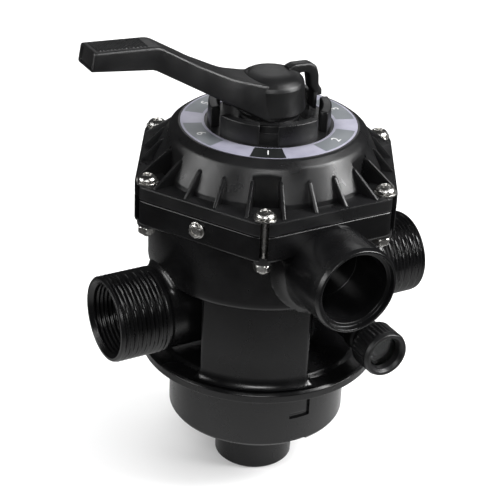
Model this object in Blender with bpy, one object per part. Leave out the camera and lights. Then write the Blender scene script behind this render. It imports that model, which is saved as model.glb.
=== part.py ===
"""Top-mount six-way valve head of a swimming-pool sand filter.

The valve stands on its tank flange: the origin is on the valve's axis, at the underside of that flange.
+Z runs up the axis, the threaded ports point to +X and -X, and the waste port points to -Y.
Lengths are in millimetres here and are scaled to metres as each mesh is made.
"""
import math

import bmesh
import bpy
from mathutils import Matrix, Vector

for leftover in list(bpy.data.objects):
    bpy.data.objects.remove(leftover, do_unlink=True)

MM = 0.001
CLEAR = 0.3                 # gap between pieces that seat on each other
RUNNING = 0.6               # gap between the turning shaft and its bore

# Bowl, column and tank flange
BOWL_RADIUS = 80.0
BOWL_WALL = 5.0
BOWL_FLOOR = 69.0           # underside of the bowl
FLOOR_THICK = 6.0
DECK_TOP = 119.0            # top of the six dividing walls
RIB_THICK = 5.0
DECK_HUB = 13.0
COLUMN_RADIUS = 38.5
COLUMN_WALL = 4.0
TANK_FLANGE_RADIUS = 84.0
TANK_RIM = 6.0
PLATEAU_RADIUS = 70.5        # raised middle of the tank flange's top
PLATEAU_HEIGHT = 11.0
DUCT_RADIUS = 78.0           # the front duct, a curved wall from the bowl down to the tank flange
DUCT_FROM = 211.3
DUCT_TO = 264.2
DUCT_WALL = 4.0
NECK_RADIUS = 63.0
NECK_LENGTH = 50.0
NECK_WALL = 4.0
SEAL_GROOVE_DEPTH = 1.9      # the tank's O-ring sits in this groove of the neck
SEAL_GROOVE_TOP = -3.2
TANK_SEAL_RADIUS = 2.6       # half the thickness of that O-ring
SLOT_DEPTH = 2.0             # the neck's two L-shaped bayonet slots
SLOT_ANGLE = 275.5
SLOT_TOP = -14.0
SLOT_FOOT_TOP = -25.4
SLOT_FOOT_LOW = -28.7

# Standpipe socket under the column
SOCKET_RADIUS = 28.0
SOCKET_BORE = 24.5
SOCKET_LENGTH = 94.0
SOCKET_DEPTH = 50.0
SOCKET_SEAL_STEP = 9.0        # the socket's O-ring groove lies this far below the step in its bore
SHOULDER_RADIUS = 31.0
SHOULDER_HIGH = 6.0
STANDPIPE_BORE = 22.0

# Six-sided flanges and their screws
APOTHEM = 86.5
CORNER_RADIUS = 97.0        # distance from the axis to each cut-off corner
BODY_FLANGE_LOW = 115.0
BODY_FLANGE_TOP = 133.0
COVER_FLANGE_THICK = 9.7
BOLT_CIRCLE = 90.0
SCREW_RADIUS = 3.2
SCREW_HOLE = 3.7
SCREW_HEAD_RADIUS = 6.3
SCREW_HEAD_HIGH = 4.2
WASHER_RADIUS = 7.6
WASHER_THICK = 1.2
NUT_ACROSS = 11.0
NUT_HIGH = 5.0
BOSS_RADIUS = 9.0
BOSS_LOW = 112.0
SCREW_TIP = 103.5

# Ports
PORT_HEIGHT = 46.0
PORT_REACH = 121.0
PORT_RADIUS = 29.8
PORT_BORE = 23.5
THREAD_LENGTH = 36.0        # threaded end; its barrel is drawn at the crest of the thread
BARREL_RADIUS = 29.2
WASTE_HEIGHT = 102.0
WASTE_REACH = 122.0
WASTE_RADIUS = 30.2
WASTE_NECK_RADIUS = 27.0
RISER_RADIUS = 13.0         # riser from a side port up into the bowl
RISER_OFFSET = 57.0

# Cover
DOME_FOOT_RADIUS = 77.5
LABEL_HEIGHT = 170.0
LABEL_OUTER = 59.6
LABEL_THICK = 0.6
CROWN_RADIUS = 41.5
CROWN_INNER = 35.0
CROWN_HIGH = 15.0
NOTCH_WIDTH = 12.5
CAVITY_RADIUS = 64.0
RIB_FIN_THICK = 2.4
RELIEF_WIDTH = 18.6
RELIEF_RADIUS = 68.5
GLAND_ROOM = 3.0             # room for the O-rings between the shaft and the gland's bore
COVER_BOSS_RADIUS = 20.5

# Diverter, shaft and spring
SHAFT_RADIUS = 9.0
DIVERTER_RADIUS = 66.0
DIVERTER_THICK = 8.7
GASKET_THICK = 2.7
SPRING_RADIUS = 16.5
SPRING_WIRE = 3.0
SPRING_TURNS = 4
SPRING_WASHER_RADIUS = 23.0

# Handle
PIN_HEIGHT = 192.0
PIN_RADIUS = 3.0
HUB_RADIUS = 25.0
HUB_RIM = 200.0             # height of the hub's rim, below its domed top
HUB_TOP = 208.0
HUB_LOW = 181.5
LOBE_REACH = 10.7           # the two lobes that lift the shaft stand this far towards the arm
LOBE_LOW = 178.4
HANDLE_REACH = 134.0
FINGER_THICK = 6.9
FINGER_WIDTH = 9.0
FINGER_OUTER = 38.4

# Sight glass
SIGHT_OFFSET = 43.0
SIGHT_HEIGHT = 31.0
SIGHT_REACH = 100.0
SIGHT_BOSS_REACH = 36.0      # where the boss on the right port ends and the neck starts
SIGHT_NECK_RADIUS = 11.0
SIGHT_RING_RADIUS = 16.5
SIGHT_BORE = 7.0
SIGHT_LENS_RADIUS = 13.2
PLUG_HEIGHT = 125.0          # the gauge plug, in the middle of one face of the flange
PLUG_ANGLE = math.radians(210)

# Places that follow from the sizes above
COVER_LOW = BODY_FLANGE_TOP + CLEAR
COVER_FLANGE_TOP = COVER_LOW + COVER_FLANGE_THICK
GASKET_LOW = DECK_TOP + CLEAR
DIVERTER_LOW = GASKET_LOW + GASKET_THICK + CLEAR
DIVERTER_TOP = DIVERTER_LOW + DIVERTER_THICK
SPRING_SEAT = DIVERTER_TOP + 3.0
CROWN_TOP = LABEL_HEIGHT + CROWN_HIGH
BOSS_TOP = LOBE_LOW - 2.6
GLAND_RADIUS = SHAFT_RADIUS + GLAND_ROOM
GLAND_LOW = LABEL_HEIGHT - 10.0
GLAND_TOP = LABEL_HEIGHT + 2.0
CORNER_ANGLES = [math.radians(60 * step) for step in range(6)]

ALONG_X = Matrix.Rotation(math.radians(90), 4, "Y")          # turns +Z to +X
ALONG_MINUS_X = Matrix.Rotation(math.radians(-90), 4, "Y")   # turns +Z to -X
ALONG_MINUS_Y = Matrix.Rotation(math.radians(90), 4, "X")    # turns +Z to -Y


def plastic(name, colour, roughness=0.4):
    """A moulded plastic or rubber of one colour."""
    return finish(name, colour, roughness, 0.0)


def finish(name, colour, roughness, metallic):
    """A Principled material with the given colour, roughness and metallic value."""
    material = bpy.data.materials.new(name)
    material.use_nodes = True
    shader = material.node_tree.nodes["Principled BSDF"]
    shader.inputs["Base Color"].default_value = (*colour, 1.0)
    shader.inputs["Roughness"].default_value = roughness
    shader.inputs["Metallic"].default_value = metallic
    return material


def empty(name, height):
    """An empty on the valve's axis that carries moving pieces."""
    holder = bpy.data.objects.new(name, None)
    holder.location = (0.0, 0.0, height * MM)
    bpy.context.collection.objects.link(holder)
    return holder


def add_object(name, shape, material=None, parent=None, height=0.0):
    """Scale a bmesh from millimetres, give it to a new object and place that by its height."""
    bmesh.ops.recalc_face_normals(shape, faces=shape.faces)
    bmesh.ops.scale(shape, vec=(MM, MM, MM), verts=shape.verts)
    mesh = bpy.data.meshes.new(name)
    shape.to_mesh(mesh)
    shape.free()
    mesh.shade_smooth()
    mesh.set_sharp_from_angle(angle=math.radians(30))
    if material:
        mesh.materials.append(material)
    item = bpy.data.objects.new(name, mesh)
    item.location = (0.0, 0.0, height * MM)
    item.parent = parent
    bpy.context.collection.objects.link(item)
    return item


def combine(target, operation, name, shape):
    """Add or cut a shape with a Boolean modifier; the shape stays as a hidden wire object."""
    tool = add_object(name, shape)
    tool.hide_render = True
    tool.display_type = "WIRE"
    modifier = target.modifiers.new(name, "BOOLEAN")
    modifier.operation = operation
    modifier.object = tool


def turned(profile, segments):
    """Spin a closed outline of (radius, height) points about Z; points on the axis become poles."""
    shape = bmesh.new()
    corners = [shape.verts.new((radius, 0.0, height)) for radius, height in profile]
    edges = []
    for index, corner in enumerate(corners):
        following = corners[(index + 1) % len(corners)]
        on_axis = corner.co.x < 1e-6 and following.co.x < 1e-6
        if not on_axis:
            edges.append(shape.edges.new((corner, following)))
    bmesh.ops.spin(
        shape, geom=corners + edges, cent=(0, 0, 0), axis=(0, 0, 1),
        angle=math.tau, steps=segments, use_merge=True)
    bmesh.ops.remove_doubles(shape, verts=shape.verts, dist=1e-4)
    return shape


def prism(outline, low, high):
    """A flat outline of (x, y) points, pulled up from one height to another."""
    shape = bmesh.new()
    floor = shape.faces.new([shape.verts.new((x, y, low)) for x, y in outline])
    pulled = bmesh.ops.extrude_face_region(shape, geom=[floor])
    tops = [item for item in pulled["geom"] if isinstance(item, bmesh.types.BMVert)]
    bmesh.ops.translate(shape, vec=(0, 0, high - low), verts=tops)
    return shape


def block(x_low, x_high, y_low, y_high, low, high):
    """A rectangular block between two corners."""
    return prism([(x_low, y_low), (x_high, y_low), (x_high, y_high), (x_low, y_high)], low, high)


def rod(radius, low, high, segments=24):
    """A solid round rod along Z."""
    return turned([(0.0, high), (radius, high), (radius, low), (0.0, low)], segments)


def washer(inner, outer, low, high, segments=24):
    """A flat ring."""
    return turned([(inner, high), (outer, high), (outer, low), (inner, low)], segments)


def round_ring(major, minor, middle, segments=32, sides=6):
    """An O-ring: a ring of round section."""
    section = []
    for step in range(sides):
        angle = -math.tau * step / sides
        section.append((major + minor * math.cos(angle), middle + minor * math.sin(angle)))
    return turned(section, segments)


def loft(sections):
    """Join rings of points, each with as many points as the first, and close both ends."""
    shape = bmesh.new()
    rings = [[shape.verts.new(point) for point in section] for section in sections]
    for ring, following in zip(rings, rings[1:]):
        for index in range(len(ring)):
            after = (index + 1) % len(ring)
            shape.faces.new((ring[index], ring[after], following[after], following[index]))
    shape.faces.new(reversed(rings[0]))
    shape.faces.new(rings[-1])
    return shape


def placed(shape, turn=None, move=(0.0, 0.0, 0.0)):
    """Turn a shape and then move it."""
    if turn:
        bmesh.ops.transform(shape, matrix=turn, verts=shape.verts)
    bmesh.ops.translate(shape, vec=move, verts=shape.verts)
    return shape


def around(make_shape, angles):
    """One shape repeated about the valve's axis at the given angles, as separate bodies of one mesh."""
    whole = bmesh.new()
    for angle in angles:
        single = make_shape()
        bmesh.ops.transform(single, matrix=Matrix.Rotation(angle, 4, "Z"), verts=single.verts)
        spare = bpy.data.meshes.new("repeat")
        single.to_mesh(spare)
        single.free()
        whole.from_mesh(spare)
        bpy.data.meshes.remove(spare)
    return whole


def hexagon(apothem=APOTHEM, corner=CORNER_RADIUS):
    """The six-sided outline of both flanges, with each corner cut off square to its screw."""
    full_corner = apothem / math.cos(math.radians(30))
    half_cut = (full_corner - corner) * math.tan(math.radians(60))
    outline = []
    for angle in CORNER_ANGLES:
        for side in (-half_cut, half_cut):
            point = Matrix.Rotation(angle, 2) @ Vector((corner, side))
            outline.append((point.x, point.y))
    return outline


def sector(inner, outer, margin, low, high):
    """A wedge between two dividing walls, centred on +X and kept clear of both walls."""
    outline = []
    for radius, steps in ((outer, 8), (inner, 2)):
        half = math.radians(30) - math.asin(margin / radius)
        sweep = [half * (2 * step / steps - 1) for step in range(steps + 1)]
        arc = [(radius * math.cos(angle), radius * math.sin(angle)) for angle in sweep]
        outline += arc if radius == outer else arc[::-1]
    return prism(outline, low, high)


def port_outline(reach):
    """Outline of a side port: barrel inboard, then the threaded end with its chamfered mouth."""
    thread_start = reach - THREAD_LENGTH
    return [
        (0.0, reach), (PORT_RADIUS - 1.2, reach), (PORT_RADIUS, reach - 1.2), (PORT_RADIUS, thread_start),
        (BARREL_RADIUS, thread_start - 1.0), (BARREL_RADIUS, 20.0), (0.0, 20.0)]


def body_outline():
    """Outline of bowl, column, tank flange, neck and socket, before the hollows are cut."""
    foot = PLATEAU_HEIGHT
    outline = [(0.0, 125.0), (BOWL_RADIUS, 125.0), (BOWL_RADIUS, BOWL_FLOOR + 3.0)]
    outline += [(BOWL_RADIUS - 3.0, BOWL_FLOOR), (COLUMN_RADIUS + 3.0, BOWL_FLOOR)]
    outline += [(COLUMN_RADIUS, BOWL_FLOOR - 3.0), (COLUMN_RADIUS, foot + 3.0)]
    outline += [(COLUMN_RADIUS + 3.0, foot), (PLATEAU_RADIUS, foot), (PLATEAU_RADIUS + 2.0, foot - 2.5)]
    outline += [(TANK_FLANGE_RADIUS - 2.0, TANK_RIM + 1.0), (TANK_FLANGE_RADIUS, TANK_RIM - 0.5)]
    outline += [(TANK_FLANGE_RADIUS, 0.0), (NECK_RADIUS, 0.0), (NECK_RADIUS, 3.0 - NECK_LENGTH)]
    outline += [(NECK_RADIUS - 1.5, -NECK_LENGTH), (SHOULDER_RADIUS, -NECK_LENGTH)]
    outline += [(SHOULDER_RADIUS, -NECK_LENGTH - SHOULDER_HIGH)]
    outline += [(SOCKET_RADIUS, -NECK_LENGTH - SHOULDER_HIGH), (SOCKET_RADIUS, 1.5 - SOCKET_LENGTH)]
    outline += [(SOCKET_RADIUS - 1.5, -SOCKET_LENGTH), (0.0, -SOCKET_LENGTH)]
    return outline


def tank_passage():
    """The ring-shaped passage round the standpipe, wider inside the neck."""
    passage_top = BOWL_FLOOR - 5.0
    column_bore = COLUMN_RADIUS - COLUMN_WALL
    return turned([
        (SOCKET_RADIUS, passage_top), (column_bore, passage_top), (column_bore, 2.0),
        (NECK_RADIUS - NECK_WALL, 2.0), (NECK_RADIUS - NECK_WALL, -NECK_LENGTH - 10.0),
        (SHOULDER_RADIUS + 0.5, -NECK_LENGTH - 10.0), (SHOULDER_RADIUS + 0.5, 2.0 - NECK_LENGTH),
        (SOCKET_RADIUS, 4.0 - NECK_LENGTH)], 32)


def socket_bore():
    """The socket for the tank's standpipe, its O-ring groove and the bore above it."""
    bore_top = BOWL_FLOOR - 5.0
    step = SOCKET_DEPTH - SOCKET_LENGTH
    groove = step - SOCKET_SEAL_STEP
    return turned([
        (0.0, bore_top), (STANDPIPE_BORE, bore_top), (STANDPIPE_BORE, step), (SOCKET_BORE, step),
        (SOCKET_BORE, groove + 2.0), (SOCKET_BORE + 2.5, groove + 2.0),
        (SOCKET_BORE + 2.5, groove - 2.0), (SOCKET_BORE, groove - 2.0),
        (SOCKET_BORE, -SOCKET_LENGTH - 5.0), (0.0, -SOCKET_LENGTH - 5.0)], 28)


def arc_prism(inner, outer, start, stop, low, high):
    """A curved block between two radii and two angles in degrees."""
    angles = [math.radians(start + (stop - start) * step / 10) for step in range(11)]
    outline = [(outer * math.cos(angle), outer * math.sin(angle)) for angle in angles]
    outline += [(inner * math.cos(angle), inner * math.sin(angle)) for angle in reversed(angles)]
    return prism(outline, low, high)


def slot_cutters():
    """Two L-shaped bayonet slots on the outside of the neck, one each side: uprights, then feet."""
    inner, outer = NECK_RADIUS - SLOT_DEPTH, NECK_RADIUS + 4.0
    angles = [math.radians(SLOT_ANGLE), math.radians(SLOT_ANGLE + 180)]
    foot_angles = [angle - math.radians(6.0) for angle in angles]
    uprights = around(lambda: block(inner, outer, -1.6, 1.6, SLOT_FOOT_TOP - 1.0, SLOT_TOP), angles)
    feet = around(lambda: block(inner, outer, -7.3, 7.3, SLOT_FOOT_LOW, SLOT_FOOT_TOP), foot_angles)
    return uprights, feet


def seal_groove():
    """The groove round the neck for the tank's O-ring."""
    low = SEAL_GROOVE_TOP - 2 * TANK_SEAL_RADIUS - 2 * CLEAR
    return washer(NECK_RADIUS - SEAL_GROOVE_DEPTH, NECK_RADIUS + 3.0, low, SEAL_GROOVE_TOP, 40)


def valve_body(black):
    """One moulding: bowl with its six chambers, flange, three ports, column, tank flange and neck."""
    body = add_object("valve_body", turned(body_outline(), 48), black)
    combine(body, "UNION", "body_flange", prism(hexagon(), BODY_FLANGE_LOW, BODY_FLANGE_TOP))
    bosses = around(
        lambda: placed(rod(BOSS_RADIUS, BOSS_LOW, BODY_FLANGE_LOW + 6.0, 12), move=(BOLT_CIRCLE - 2.5, 0, 0)),
        CORNER_ANGLES)
    combine(body, "UNION", "screw_bosses", bosses)
    for name, turn in (("right_port", ALONG_X), ("left_port", ALONG_MINUS_X)):
        port = placed(turned(port_outline(PORT_REACH), 32), turn, (0, 0, PORT_HEIGHT))
        combine(body, "UNION", name, port)
    duct = arc_prism(COLUMN_RADIUS - 2.0, DUCT_RADIUS, DUCT_FROM, DUCT_TO, TANK_RIM, BOWL_FLOOR + 3.0)
    combine(body, "UNION", "front_duct", duct)
    waste = turned([
        (0.0, WASTE_REACH), (WASTE_RADIUS - 1.2, WASTE_REACH), (WASTE_RADIUS, WASTE_REACH - 1.2),
        (WASTE_RADIUS, WASTE_REACH - 9.0), (WASTE_NECK_RADIUS, WASTE_REACH - 22.0),
        (WASTE_NECK_RADIUS, 60.0), (0.0, 60.0)], 32)
    combine(body, "UNION", "waste_port", placed(waste, ALONG_MINUS_Y, (0, 0, WASTE_HEIGHT)))
    sight_place = (SIGHT_OFFSET, 0, SIGHT_HEIGHT)
    boss = placed(rod(SIGHT_NECK_RADIUS, 15.0, SIGHT_BOSS_REACH, 20), ALONG_MINUS_Y, sight_place)
    combine(body, "UNION", "sight_boss", boss)

    wall = BOWL_RADIUS - BOWL_WALL
    chambers = around(
        lambda: sector(DECK_HUB, wall, RIB_THICK / 2, BOWL_FLOOR + FLOOR_THICK, DECK_TOP + 1.0),
        CORNER_ANGLES)
    combine(body, "DIFFERENCE", "six_chambers", chambers)
    combine(body, "DIFFERENCE", "rotor_space", rod(wall + 0.02, DECK_TOP, BODY_FLANGE_TOP + 5.0, 48))
    groove = washer(wall + 2.5, wall + 6.5, BODY_FLANGE_TOP - 3.0, BODY_FLANGE_TOP + 2.0, 40)
    combine(body, "DIFFERENCE", "cover_o_ring_groove", groove)
    combine(body, "DIFFERENCE", "tank_passage", tank_passage())
    combine(body, "DIFFERENCE", "socket_bore", socket_bore())
    for name, turn, side in (("right", ALONG_X, 1), ("left", ALONG_MINUS_X, -1)):
        bore = turned([
            (0.0, PORT_REACH + 2.0), (PORT_BORE + 3.5, PORT_REACH + 2.0), (PORT_BORE, PORT_REACH - 1.5),
            (PORT_BORE, COLUMN_RADIUS + 3.5), (0.0, COLUMN_RADIUS + 3.5)], 24)
        combine(body, "DIFFERENCE", name + "_bore", placed(bore, turn, (0, 0, PORT_HEIGHT)))
        riser = rod(RISER_RADIUS, PORT_HEIGHT, BOWL_FLOOR + FLOOR_THICK + 2.0, 14)
        combine(body, "DIFFERENCE", name + "_riser", placed(riser, move=(side * RISER_OFFSET, 0, 0)))
    waste_bore = turned([
        (0.0, WASTE_REACH + 2.0), (PORT_BORE + 4.5, WASTE_REACH + 2.0), (PORT_BORE + 2.5, WASTE_REACH - 3.0),
        (PORT_BORE, WASTE_REACH - 3.5), (PORT_BORE, BOWL_RADIUS + 4.0), (0.0, BOWL_RADIUS + 4.0)], 24)
    combine(body, "DIFFERENCE", "waste_bore", placed(waste_bore, ALONG_MINUS_Y, (0, 0, WASTE_HEIGHT)))
    duct_bore = arc_prism(
        COLUMN_RADIUS + 2 * DUCT_WALL, DUCT_RADIUS - DUCT_WALL, DUCT_FROM + 5.7, DUCT_TO - 5.2,
        PLATEAU_HEIGHT + 1.0, BOWL_FLOOR + FLOOR_THICK + 2.0)
    combine(body, "DIFFERENCE", "front_duct_bore", duct_bore)
    window = block(-20.0, -3.8, -BOWL_RADIUS - 8.0, -60.0, 84.0, 113.0)
    combine(body, "DIFFERENCE", "waste_window", window)
    annulus_window = block(29.0, 33.5, -9.0, 9.0, BOWL_FLOOR - 8.0, BOWL_FLOOR + FLOOR_THICK + 2.0)
    annulus_window = placed(annulus_window, Matrix.Rotation(CORNER_ANGLES[1], 4, "Z"))
    combine(body, "DIFFERENCE", "tank_window", annulus_window)
    pipe_window = block(14.0, 21.0, -5.0, 5.0, BOWL_FLOOR - 8.0, BOWL_FLOOR + FLOOR_THICK + 2.0)
    combine(body, "DIFFERENCE", "pipe_window", placed(pipe_window, Matrix.Rotation(CORNER_ANGLES[2], 4, "Z")))
    holes = around(
        lambda: placed(rod(SCREW_HOLE, BOSS_LOW - 5.0, BODY_FLANGE_TOP + 5.0, 10), move=(BOLT_CIRCLE, 0, 0)),
        CORNER_ANGLES)
    combine(body, "DIFFERENCE", "body_screw_holes", holes)
    sight_bore = placed(rod(SIGHT_BORE, 12.0, SIGHT_BOSS_REACH + 4.0, 12), ALONG_MINUS_Y, sight_place)
    combine(body, "DIFFERENCE", "sight_bore", sight_bore)
    plug_hole = placed(rod(4.0, APOTHEM - 6.5, APOTHEM + 4.0, 12), ALONG_X, (0, 0, PLUG_HEIGHT))
    combine(body, "DIFFERENCE", "plug_hole", placed(plug_hole, Matrix.Rotation(PLUG_ANGLE, 4, "Z")))
    uprights, feet = slot_cutters()
    combine(body, "DIFFERENCE", "slot_uprights", uprights)
    combine(body, "DIFFERENCE", "slot_feet", feet)
    combine(body, "DIFFERENCE", "seal_groove", seal_groove())


def cover(black):
    """The cover: ribbed dome on a six-sided flange, with the notched crown and the shaft gland."""
    shell = turned([
        (0.0, BOSS_TOP), (COVER_BOSS_RADIUS, BOSS_TOP), (COVER_BOSS_RADIUS, LABEL_HEIGHT + 0.5),
        (CROWN_INNER, LABEL_HEIGHT + 0.5), (CROWN_INNER, CROWN_TOP), (CROWN_RADIUS, CROWN_TOP),
        (CROWN_RADIUS, LABEL_HEIGHT), (LABEL_OUTER + 0.6, LABEL_HEIGHT), (LABEL_OUTER + 2.8, LABEL_HEIGHT - 0.8), (65.5, LABEL_HEIGHT - 2.8),
        (68.3, LABEL_HEIGHT - 5.8), (73.0, COVER_FLANGE_TOP + 11.5), (76.3, COVER_FLANGE_TOP + 3.5),
        (DOME_FOOT_RADIUS, COVER_FLANGE_TOP), (DOME_FOOT_RADIUS, COVER_LOW + 3.0), (0.0, COVER_LOW + 3.0)], 48)
    part = add_object("cover", shell, black)
    combine(part, "UNION", "cover_flange", prism(hexagon(), COVER_LOW, COVER_FLANGE_TOP))

    def fin(edge):
        """One rib: a thin plate from the dome down to the flange, in the plane of +X."""
        rib = prism([
            (66.0, COVER_FLANGE_TOP - 2.0), (edge, COVER_FLANGE_TOP - 2.0), (edge, COVER_FLANGE_TOP + 1.2),
            (72.5, COVER_FLANGE_TOP + 15.5), (66.0, COVER_FLANGE_TOP + 15.5)],
            -RIB_FIN_THICK / 2, RIB_FIN_THICK / 2)
        return placed(rib, Matrix.Rotation(math.radians(90), 4, "X"))
    near_screw, near_middle = [], []
    for corner in CORNER_ANGLES:
        near_screw += [corner - math.radians(7.5), corner + math.radians(7.5)]
        near_middle += [corner - math.radians(22.5), corner + math.radians(22.5)]
    edge_near_screw = APOTHEM / math.cos(math.radians(22.5)) - 1.5
    edge_near_middle = APOTHEM / math.cos(math.radians(7.5)) - 1.5
    reliefs = around(
        lambda: block(RELIEF_RADIUS, CORNER_RADIUS + 5.0, -RELIEF_WIDTH / 2, RELIEF_WIDTH / 2,
                      COVER_FLANGE_TOP, LABEL_HEIGHT + 5.0),
        CORNER_ANGLES)
    combine(part, "DIFFERENCE", "screw_reliefs", reliefs)
    combine(part, "UNION", "fins_near_screws", around(lambda: fin(edge_near_screw), near_screw))
    combine(part, "UNION", "fins_near_middle", around(lambda: fin(edge_near_middle), near_middle))

    cavity = turned([
        (0.0, GLAND_LOW), (24.0, GLAND_LOW), (25.0, GLAND_LOW + 2.0), (50.0, GLAND_LOW + 2.0),
        (58.0, GLAND_LOW - 1.0), (CAVITY_RADIUS, GLAND_LOW - 12.0), (CAVITY_RADIUS, COVER_FLANGE_TOP - 3.0),
        (BOWL_RADIUS - BOWL_WALL - 1.0, COVER_FLANGE_TOP - 5.0),
        (BOWL_RADIUS - BOWL_WALL - 1.0, COVER_LOW - 5.0), (0.0, COVER_LOW - 5.0)], 36)
    combine(part, "DIFFERENCE", "spring_space", cavity)
    gland = turned([
        (0.0, BOSS_TOP + 3.0), (SHAFT_RADIUS + RUNNING, BOSS_TOP + 3.0), (SHAFT_RADIUS + RUNNING, GLAND_TOP),
        (GLAND_RADIUS, GLAND_TOP), (GLAND_RADIUS, GLAND_LOW - 5.0), (0.0, GLAND_LOW - 5.0)], 24)
    combine(part, "DIFFERENCE", "shaft_gland", gland)
    notches = around(
        lambda: block(CROWN_INNER - 3.0, CROWN_RADIUS + 3.0, -NOTCH_WIDTH / 2, NOTCH_WIDTH / 2,
                      LABEL_HEIGHT + 1.0, CROWN_TOP + 5.0),
        CORNER_ANGLES)
    combine(part, "DIFFERENCE", "crown_notches", notches)
    holes = around(
        lambda: placed(rod(SCREW_HOLE, COVER_LOW - 5.0, COVER_FLANGE_TOP + 5.0, 10), move=(BOLT_CIRCLE, 0, 0)),
        CORNER_ANGLES)
    combine(part, "DIFFERENCE", "cover_screw_holes", holes)


def spider_gasket(rubber):
    """The wheel-shaped seal that lies on the bowl's six dividing walls."""
    top = GASKET_LOW + GASKET_THICK
    part = add_object("spider_gasket", rod(BOWL_RADIUS - BOWL_WALL - CLEAR, GASKET_LOW, top, 36), rubber)
    gaps = around(
        lambda: sector(DECK_HUB + 1.0, DIVERTER_RADIUS - 1.0, 2.2, GASKET_LOW - 2.0, top + 2.0), CORNER_ANGLES)
    combine(part, "DIFFERENCE", "gasket_gaps", gaps)


def diverter(white, holder):
    """The rotor that joins the chambers in pairs, moulded with its shaft up to the handle."""
    neck = SHAFT_RADIUS + 4.5
    shape = turned([
        (0.0, PIN_HEIGHT + 10.0), (SHAFT_RADIUS - 1.0, PIN_HEIGHT + 10.0), (SHAFT_RADIUS, PIN_HEIGHT + 9.0),
        (SHAFT_RADIUS, SPRING_SEAT + 6.0), (SHAFT_RADIUS + 0.8, SPRING_SEAT), (neck + 11.0, SPRING_SEAT),
        (neck + 14.0, DIVERTER_TOP), (DIVERTER_RADIUS - 2.0, DIVERTER_TOP), (DIVERTER_RADIUS, DIVERTER_TOP - 2.0),
        (DIVERTER_RADIUS, DIVERTER_LOW), (0.0, DIVERTER_LOW)], 32)
    part = add_object("diverter", shape, white, holder)
    passage = sector(30.0, 58.0, 5.0, DIVERTER_LOW - 2.0, DIVERTER_TOP + 2.0)
    combine(part, "DIFFERENCE", "open_passage", placed(passage, Matrix.Rotation(CORNER_ANGLES[1], 4, "Z")))
    pockets = around(
        lambda: sector(18.0, 58.0, 5.0, DIVERTER_LOW - 2.0, DIVERTER_LOW + 4.5),
        [CORNER_ANGLES[0], CORNER_ANGLES[3]])
    combine(part, "DIFFERENCE", "closed_pockets", pockets)
    cross_hole = placed(rod(PIN_RADIUS + CLEAR, -20.0, 20.0, 16), ALONG_MINUS_Y, (0, 0, PIN_HEIGHT))
    combine(part, "DIFFERENCE", "cross_hole", cross_hole)


def spring(steel):
    """Compression spring round the shaft, wound as a round wire along a helix."""
    low = SPRING_SEAT + 2.0 + 2 * CLEAR + SPRING_WIRE / 2
    high = GLAND_LOW - 1.8 - 2 * CLEAR - SPRING_WIRE / 2
    steps_per_turn, sides = 14, 6
    steps = SPRING_TURNS * steps_per_turn
    rise = (high - low) / (math.tau * SPRING_TURNS * SPRING_RADIUS)
    sections = []
    for step in range(steps + 1):
        angle = math.tau * step / steps_per_turn
        outward = Vector((math.cos(angle), math.sin(angle), 0.0))
        forward = Vector((-math.sin(angle), math.cos(angle), rise)).normalized()
        upward = outward.cross(forward)
        centre = outward * SPRING_RADIUS + Vector((0.0, 0.0, low + (high - low) * step / steps))
        section = []
        for side in range(sides):
            turn = math.tau * side / sides
            section.append(centre + (outward * math.cos(turn) + upward * math.sin(turn)) * SPRING_WIRE / 2)
        sections.append(section)
    add_object("spring", loft(sections), steel)


def seals_and_washers(steel, rubber, nylon, turning, lifting):
    """The rings that are trapped between body, cover, shaft and handle."""
    seal_middle = NECK_RADIUS - SEAL_GROOVE_DEPTH + CLEAR + TANK_SEAL_RADIUS
    seal_height = SEAL_GROOVE_TOP - CLEAR - TANK_SEAL_RADIUS
    add_object("tank_o_ring", round_ring(seal_middle, TANK_SEAL_RADIUS, seal_height, 40), rubber)
    groove = SOCKET_DEPTH - SOCKET_LENGTH - SOCKET_SEAL_STEP
    add_object("standpipe_o_ring", round_ring(SOCKET_BORE + 0.6, 1.6, groove), rubber)
    middle_of_groove = BOWL_RADIUS - BOWL_WALL + 4.5
    add_object("cover_o_ring", round_ring(middle_of_groove, 1.4, BODY_FLANGE_TOP - 1.4, 40), rubber)
    middle = (SHAFT_RADIUS + GLAND_RADIUS) / 2
    for name, height in (("shaft_o_ring_lower", GLAND_LOW + 4.0), ("shaft_o_ring_upper", GLAND_LOW + 8.5)):
        add_object(name, round_ring(middle, 1.2, height, 20), rubber)
    inner = SHAFT_RADIUS + 1.4
    lower = washer(inner, SPRING_WASHER_RADIUS, SPRING_SEAT + CLEAR, SPRING_SEAT + CLEAR + 1.7)
    add_object("spring_washer_lower", lower, steel, lifting)
    upper = washer(inner, SPRING_WASHER_RADIUS, GLAND_LOW - CLEAR - 1.7, GLAND_LOW - CLEAR)
    add_object("spring_washer_upper", upper, steel)
    slip = washer(inner, 20.0, BOSS_TOP + CLEAR, LOBE_LOW - CLEAR)
    add_object("handle_washer", slip, nylon, turning)


def handle_section(top, bottom, half_width, chamfer):
    """Eight corner points of the arm's section; top and bottom are (reach, height) from the pin."""
    points = []
    along = Vector((top[0] - bottom[0], top[1] - bottom[1])).normalized() * chamfer
    upper, lower = Vector(top), Vector(bottom)
    for half, inset in ((half_width - chamfer, 0), (half_width, 1)):
        points.append((half, upper - along * inset))
    for half, inset in ((half_width, 1), (half_width - chamfer, 0)):
        points.append((half, lower + along * inset))
    ring = [(-point.x, half, point.y) for half, point in points]
    ring += [(-point.x, -half, point.y) for half, point in reversed(points)]
    return ring


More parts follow.
